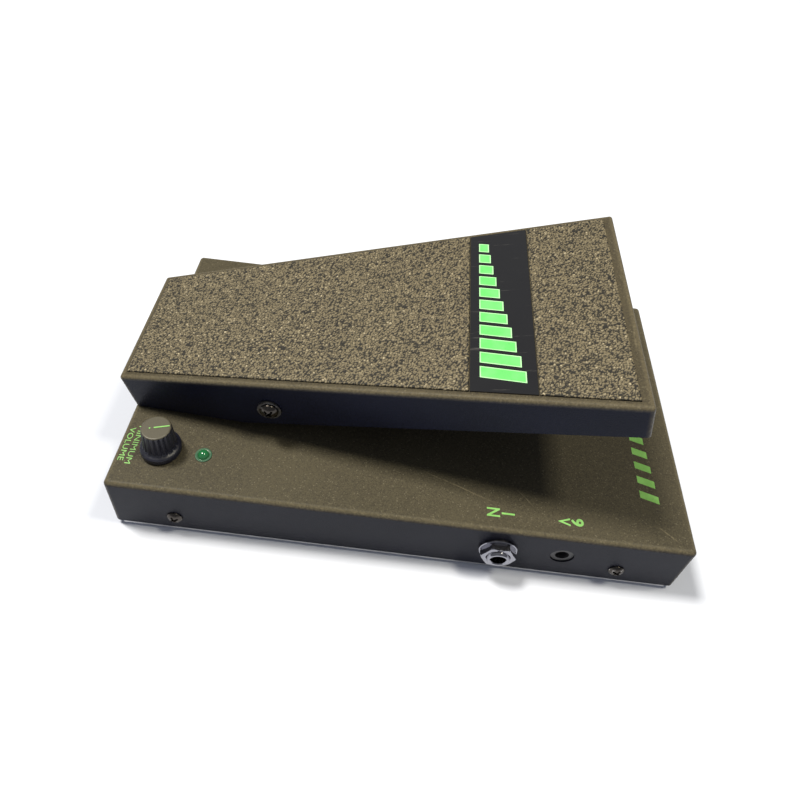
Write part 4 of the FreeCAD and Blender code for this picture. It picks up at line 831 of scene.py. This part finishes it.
# The pits are painted dark as shade. The pebble tips are painted pale, partly as wear and partly as a painted
# highlight.
pit_shade, pebble_brown, tip_highlight = (0.006, 0.005, 0.003), (0.165, 0.135, 0.080), (0.66, 0.57, 0.40)
worn_and_lit_tips = (rise.step(0.50, 0.90) * crumbs.step(0.38, 0.60) * (0.4 + tip_patch)).least(1)
pebble_tone = grip_rubber.blend(rise.step(0.02, 0.26), pit_shade, pebble_brown)
grip_rubber.wear(base_color=grip_rubber.blend(worn_and_lit_tips, pebble_tone, tip_highlight),
                 roughness=0.62 - rise * 0.2 + crumbs * 0.1)
grip_rubber.grain(crumbs, 0.00012)
for piece, node, seed in (("heel_mat", "heel_grip_mat", 0.3), ("toe_mat", "toe_grip_mat", 0.7)):
    ends, halves, thickness = treadle_corners(node)
    blank = mat_blank(piece + "_blank", ends, halves, thickness, 0.0004)
    mat = pebbled.grow(piece, blank, Pebble=0.00105, Relief=0.00045, Rim=0.0011, Start=ends[0], End=ends[1],
                       StartHalf=halves[0], EndHalf=halves[1], Thickness=thickness, Seed=seed,
                       Finish=grip_rubber.material)
    mat.transform(treadle_frame)
    dress(piece, mat, grip_rubber, "treadle", [node], 180)


# Label plate. A gloss black strip across the treadle between the mats, printed with a rising row of
# green bars in place of a name, each with a thin paler outline.

label_gloss = Finish("label_gloss", (0.012, 0.012, 0.014), 0.14, coat_weight=0.6, coat_roughness=0.05)
scuffs = label_gloss.noise(0.02, 4, 0.7, label_gloss.turned((0, TILT, 0.5), (1, 14, 1)))
smudge = label_gloss.noise(0.016, 3, 0.6)
gloss_black, scuffed_grey = (0.010, 0.010, 0.012), (0.2, 0.19, 0.18)
label_gloss.wear(base_color=label_gloss.blend(scuffs.step(0.62, 0.72) * 0.25, gloss_black, scuffed_grey),
                 roughness=0.12 + smudge * 0.16 + scuffs.step(0.6, 0.75) * 0.2)
label_gloss.grain(scuffs, 0.00002)
label_gloss.cover("label_plate")
label_ends, _, label_top = treadle_corners("label_plate")

bars = Rule("rising_bars", Count="Int", Low="Float", High="Float", Start="Float", End="Float", Width="Float",
            Base="Float", Level="Float", Thickness="Float", Slant="Float", Spare="Float", Finish="Material")
line = bars.node("GeometryNodeMeshLine", {"mode": "OFFSET"}, {"Count": bars.input("Count")})
number = bars.node("GeometryNodeInputIndex")
share = number / (bars.input("Count") - 1)
tall = bars.input("Low") + (bars.input("High") - bars.input("Low")) * share ** 1.25 + bars.input("Spare") * 2
placed = bars.node("GeometryNodeSetPosition", None, {"Geometry": line, "Position": bars.node(
    "ShaderNodeCombineXYZ", None, {0: bars.input("Base") - bars.input("Spare") + tall * 0.5,
                                   1: bars.input("Start") + (bars.input("End") - bars.input("Start")) * share,
                                   2: bars.input("Level")})})
block = bars.node("GeometryNodeMeshCube", None, {"Size": (1, 1, 1)})
broad = bars.input("Width") + bars.input("Spare") * 2
rising = bars.node("GeometryNodeInstanceOnPoints", None, {
    "Points": placed, "Instance": block,
    "Scale": bars.node("ShaderNodeCombineXYZ", None, {0: tall, 1: broad, 2: bars.input("Thickness")})})
real_bars = bars.node("GeometryNodeRealizeInstances", None, {0: rising})
bar_spot = bars.node("GeometryNodeInputPosition")
bar_along = bars.node("ShaderNodeSeparateXYZ", None, {0: bar_spot}, 0)
bars.finish(bars.node("GeometryNodeSetPosition", None, {"Geometry": real_bars, "Offset": bars.node(
    "ShaderNodeCombineXYZ", None, {1: (bar_along - bars.input("Base")) * bars.input("Slant")})}))
outline_ink = bright_print("pale_green_print", (0.42, 0.85, 0.42))
graphic_ink = bright_print("label_green_print", (0.13, 0.62, 0.15))
toe_ink = bright_print("toe_green_print", (0.19, 0.46, 0.09))


def bar_row(piece, finish, place, body, **sizes):
    """One row of printed bars, laid on a face."""
    mesh = bars.grow(piece, bpy.data.meshes.new(piece + "_none"), Finish=finish.material, **sizes)
    mesh.transform(place)
    return dress(piece, mesh, finish, body, [], 30)


label_row = dict(Count=11, Low=0.0035, High=0.0165, Start=0.0385, End=-0.0375, Width=0.0048,
                 Base=label_ends[0] + 0.0042, Slant=-0.22, Thickness=0.00005)
second_coat = 0.00003
bar_row("label_outline", outline_ink, treadle_frame, "treadle", Level=label_top, Spare=0.00045, **label_row)
bar_row("label_bars", graphic_ink, treadle_frame, "treadle", Level=label_top + second_coat, Spare=0.0,
        **label_row)
toe_row = dict(Count=14, Low=0.003, High=0.0078, Start=0.050, End=-0.0475, Width=0.0036, Base=0.1030,
               Slant=-0.3, Thickness=0.00006)
bar_row("toe_bars", toe_ink, Matrix(), "base", Level=cover_high.z + 0.00001, Spare=0.0, **toe_row)


# Floor, light and camera: a plain pale floor, two soft warm lamps high over the heel and the toe, a
# little light from all around, and the camera over the near right side.

floor_finish = Finish("pale_floor", (0.73, 0.77, 0.90), 0.9)
floor_finish.grain(floor_finish.noise(0.004), 0.00002)
floor_mesh = bpy.data.meshes.new("floor")
floor_mesh.from_pydata([(-3, -3, 0), (3, -3, 0), (3, 3, 0), (-3, 3, 0)], [], [(0, 1, 2, 3)])
floor_mesh.materials.append(floor_finish.material)
floor = bpy.data.objects.new("floor", floor_mesh)
scene.collection.objects.link(floor)


def soft_lamp(name, place, aim, size, power, colour):
    """A rectangular soft lamp that points at a place."""
    lamp_data = bpy.data.lights.new(name, "AREA")
    lamp_data.shape, lamp_data.energy, lamp_data.color = "RECTANGLE", power, colour
    lamp_data.size, lamp_data.size_y = size
    hung = bpy.data.objects.new(name, lamp_data)
    hung.location = place
    hung.rotation_euler = (Vector(aim) - Vector(place)).to_track_quat("-Z", "Y").to_euler()
    scene.collection.objects.link(hung)


soft_lamp("heel_lamp", (-1.06, 0.29, 2.56), (0, 0, 0.03), (0.5, 0.5), 80, (1.0, 0.95, 0.82))
soft_lamp("toe_lamp", (1.13, -0.02, 2.5), (0, 0, 0.03), (0.5, 0.5), 36, (1.0, 0.93, 0.74))
sky = bpy.data.worlds.new("room")
sky.use_nodes = True
sky.node_tree.nodes["Background"].inputs["Color"].default_value = (0.92, 0.95, 1.0, 1)
sky.node_tree.nodes["Background"].inputs["Strength"].default_value = 0.25
scene.world = sky
scene.view_settings.view_transform = "Standard"
camera_data = bpy.data.cameras.new("camera")
camera_data.lens, camera_data.sensor_width = 31.135, 36
camera_data.shift_x, camera_data.shift_y = 0.0175, -0.0664
camera = bpy.data.objects.new("camera", camera_data)
camera.location = (-0.00952, -0.21569, 0.27887)
camera.rotation_euler = [math.radians(turn) for turn in (43.553, -4.382, 5.159)]
scene.collection.objects.link(camera)
scene.camera = camera
bpy.context.view_layer.update()
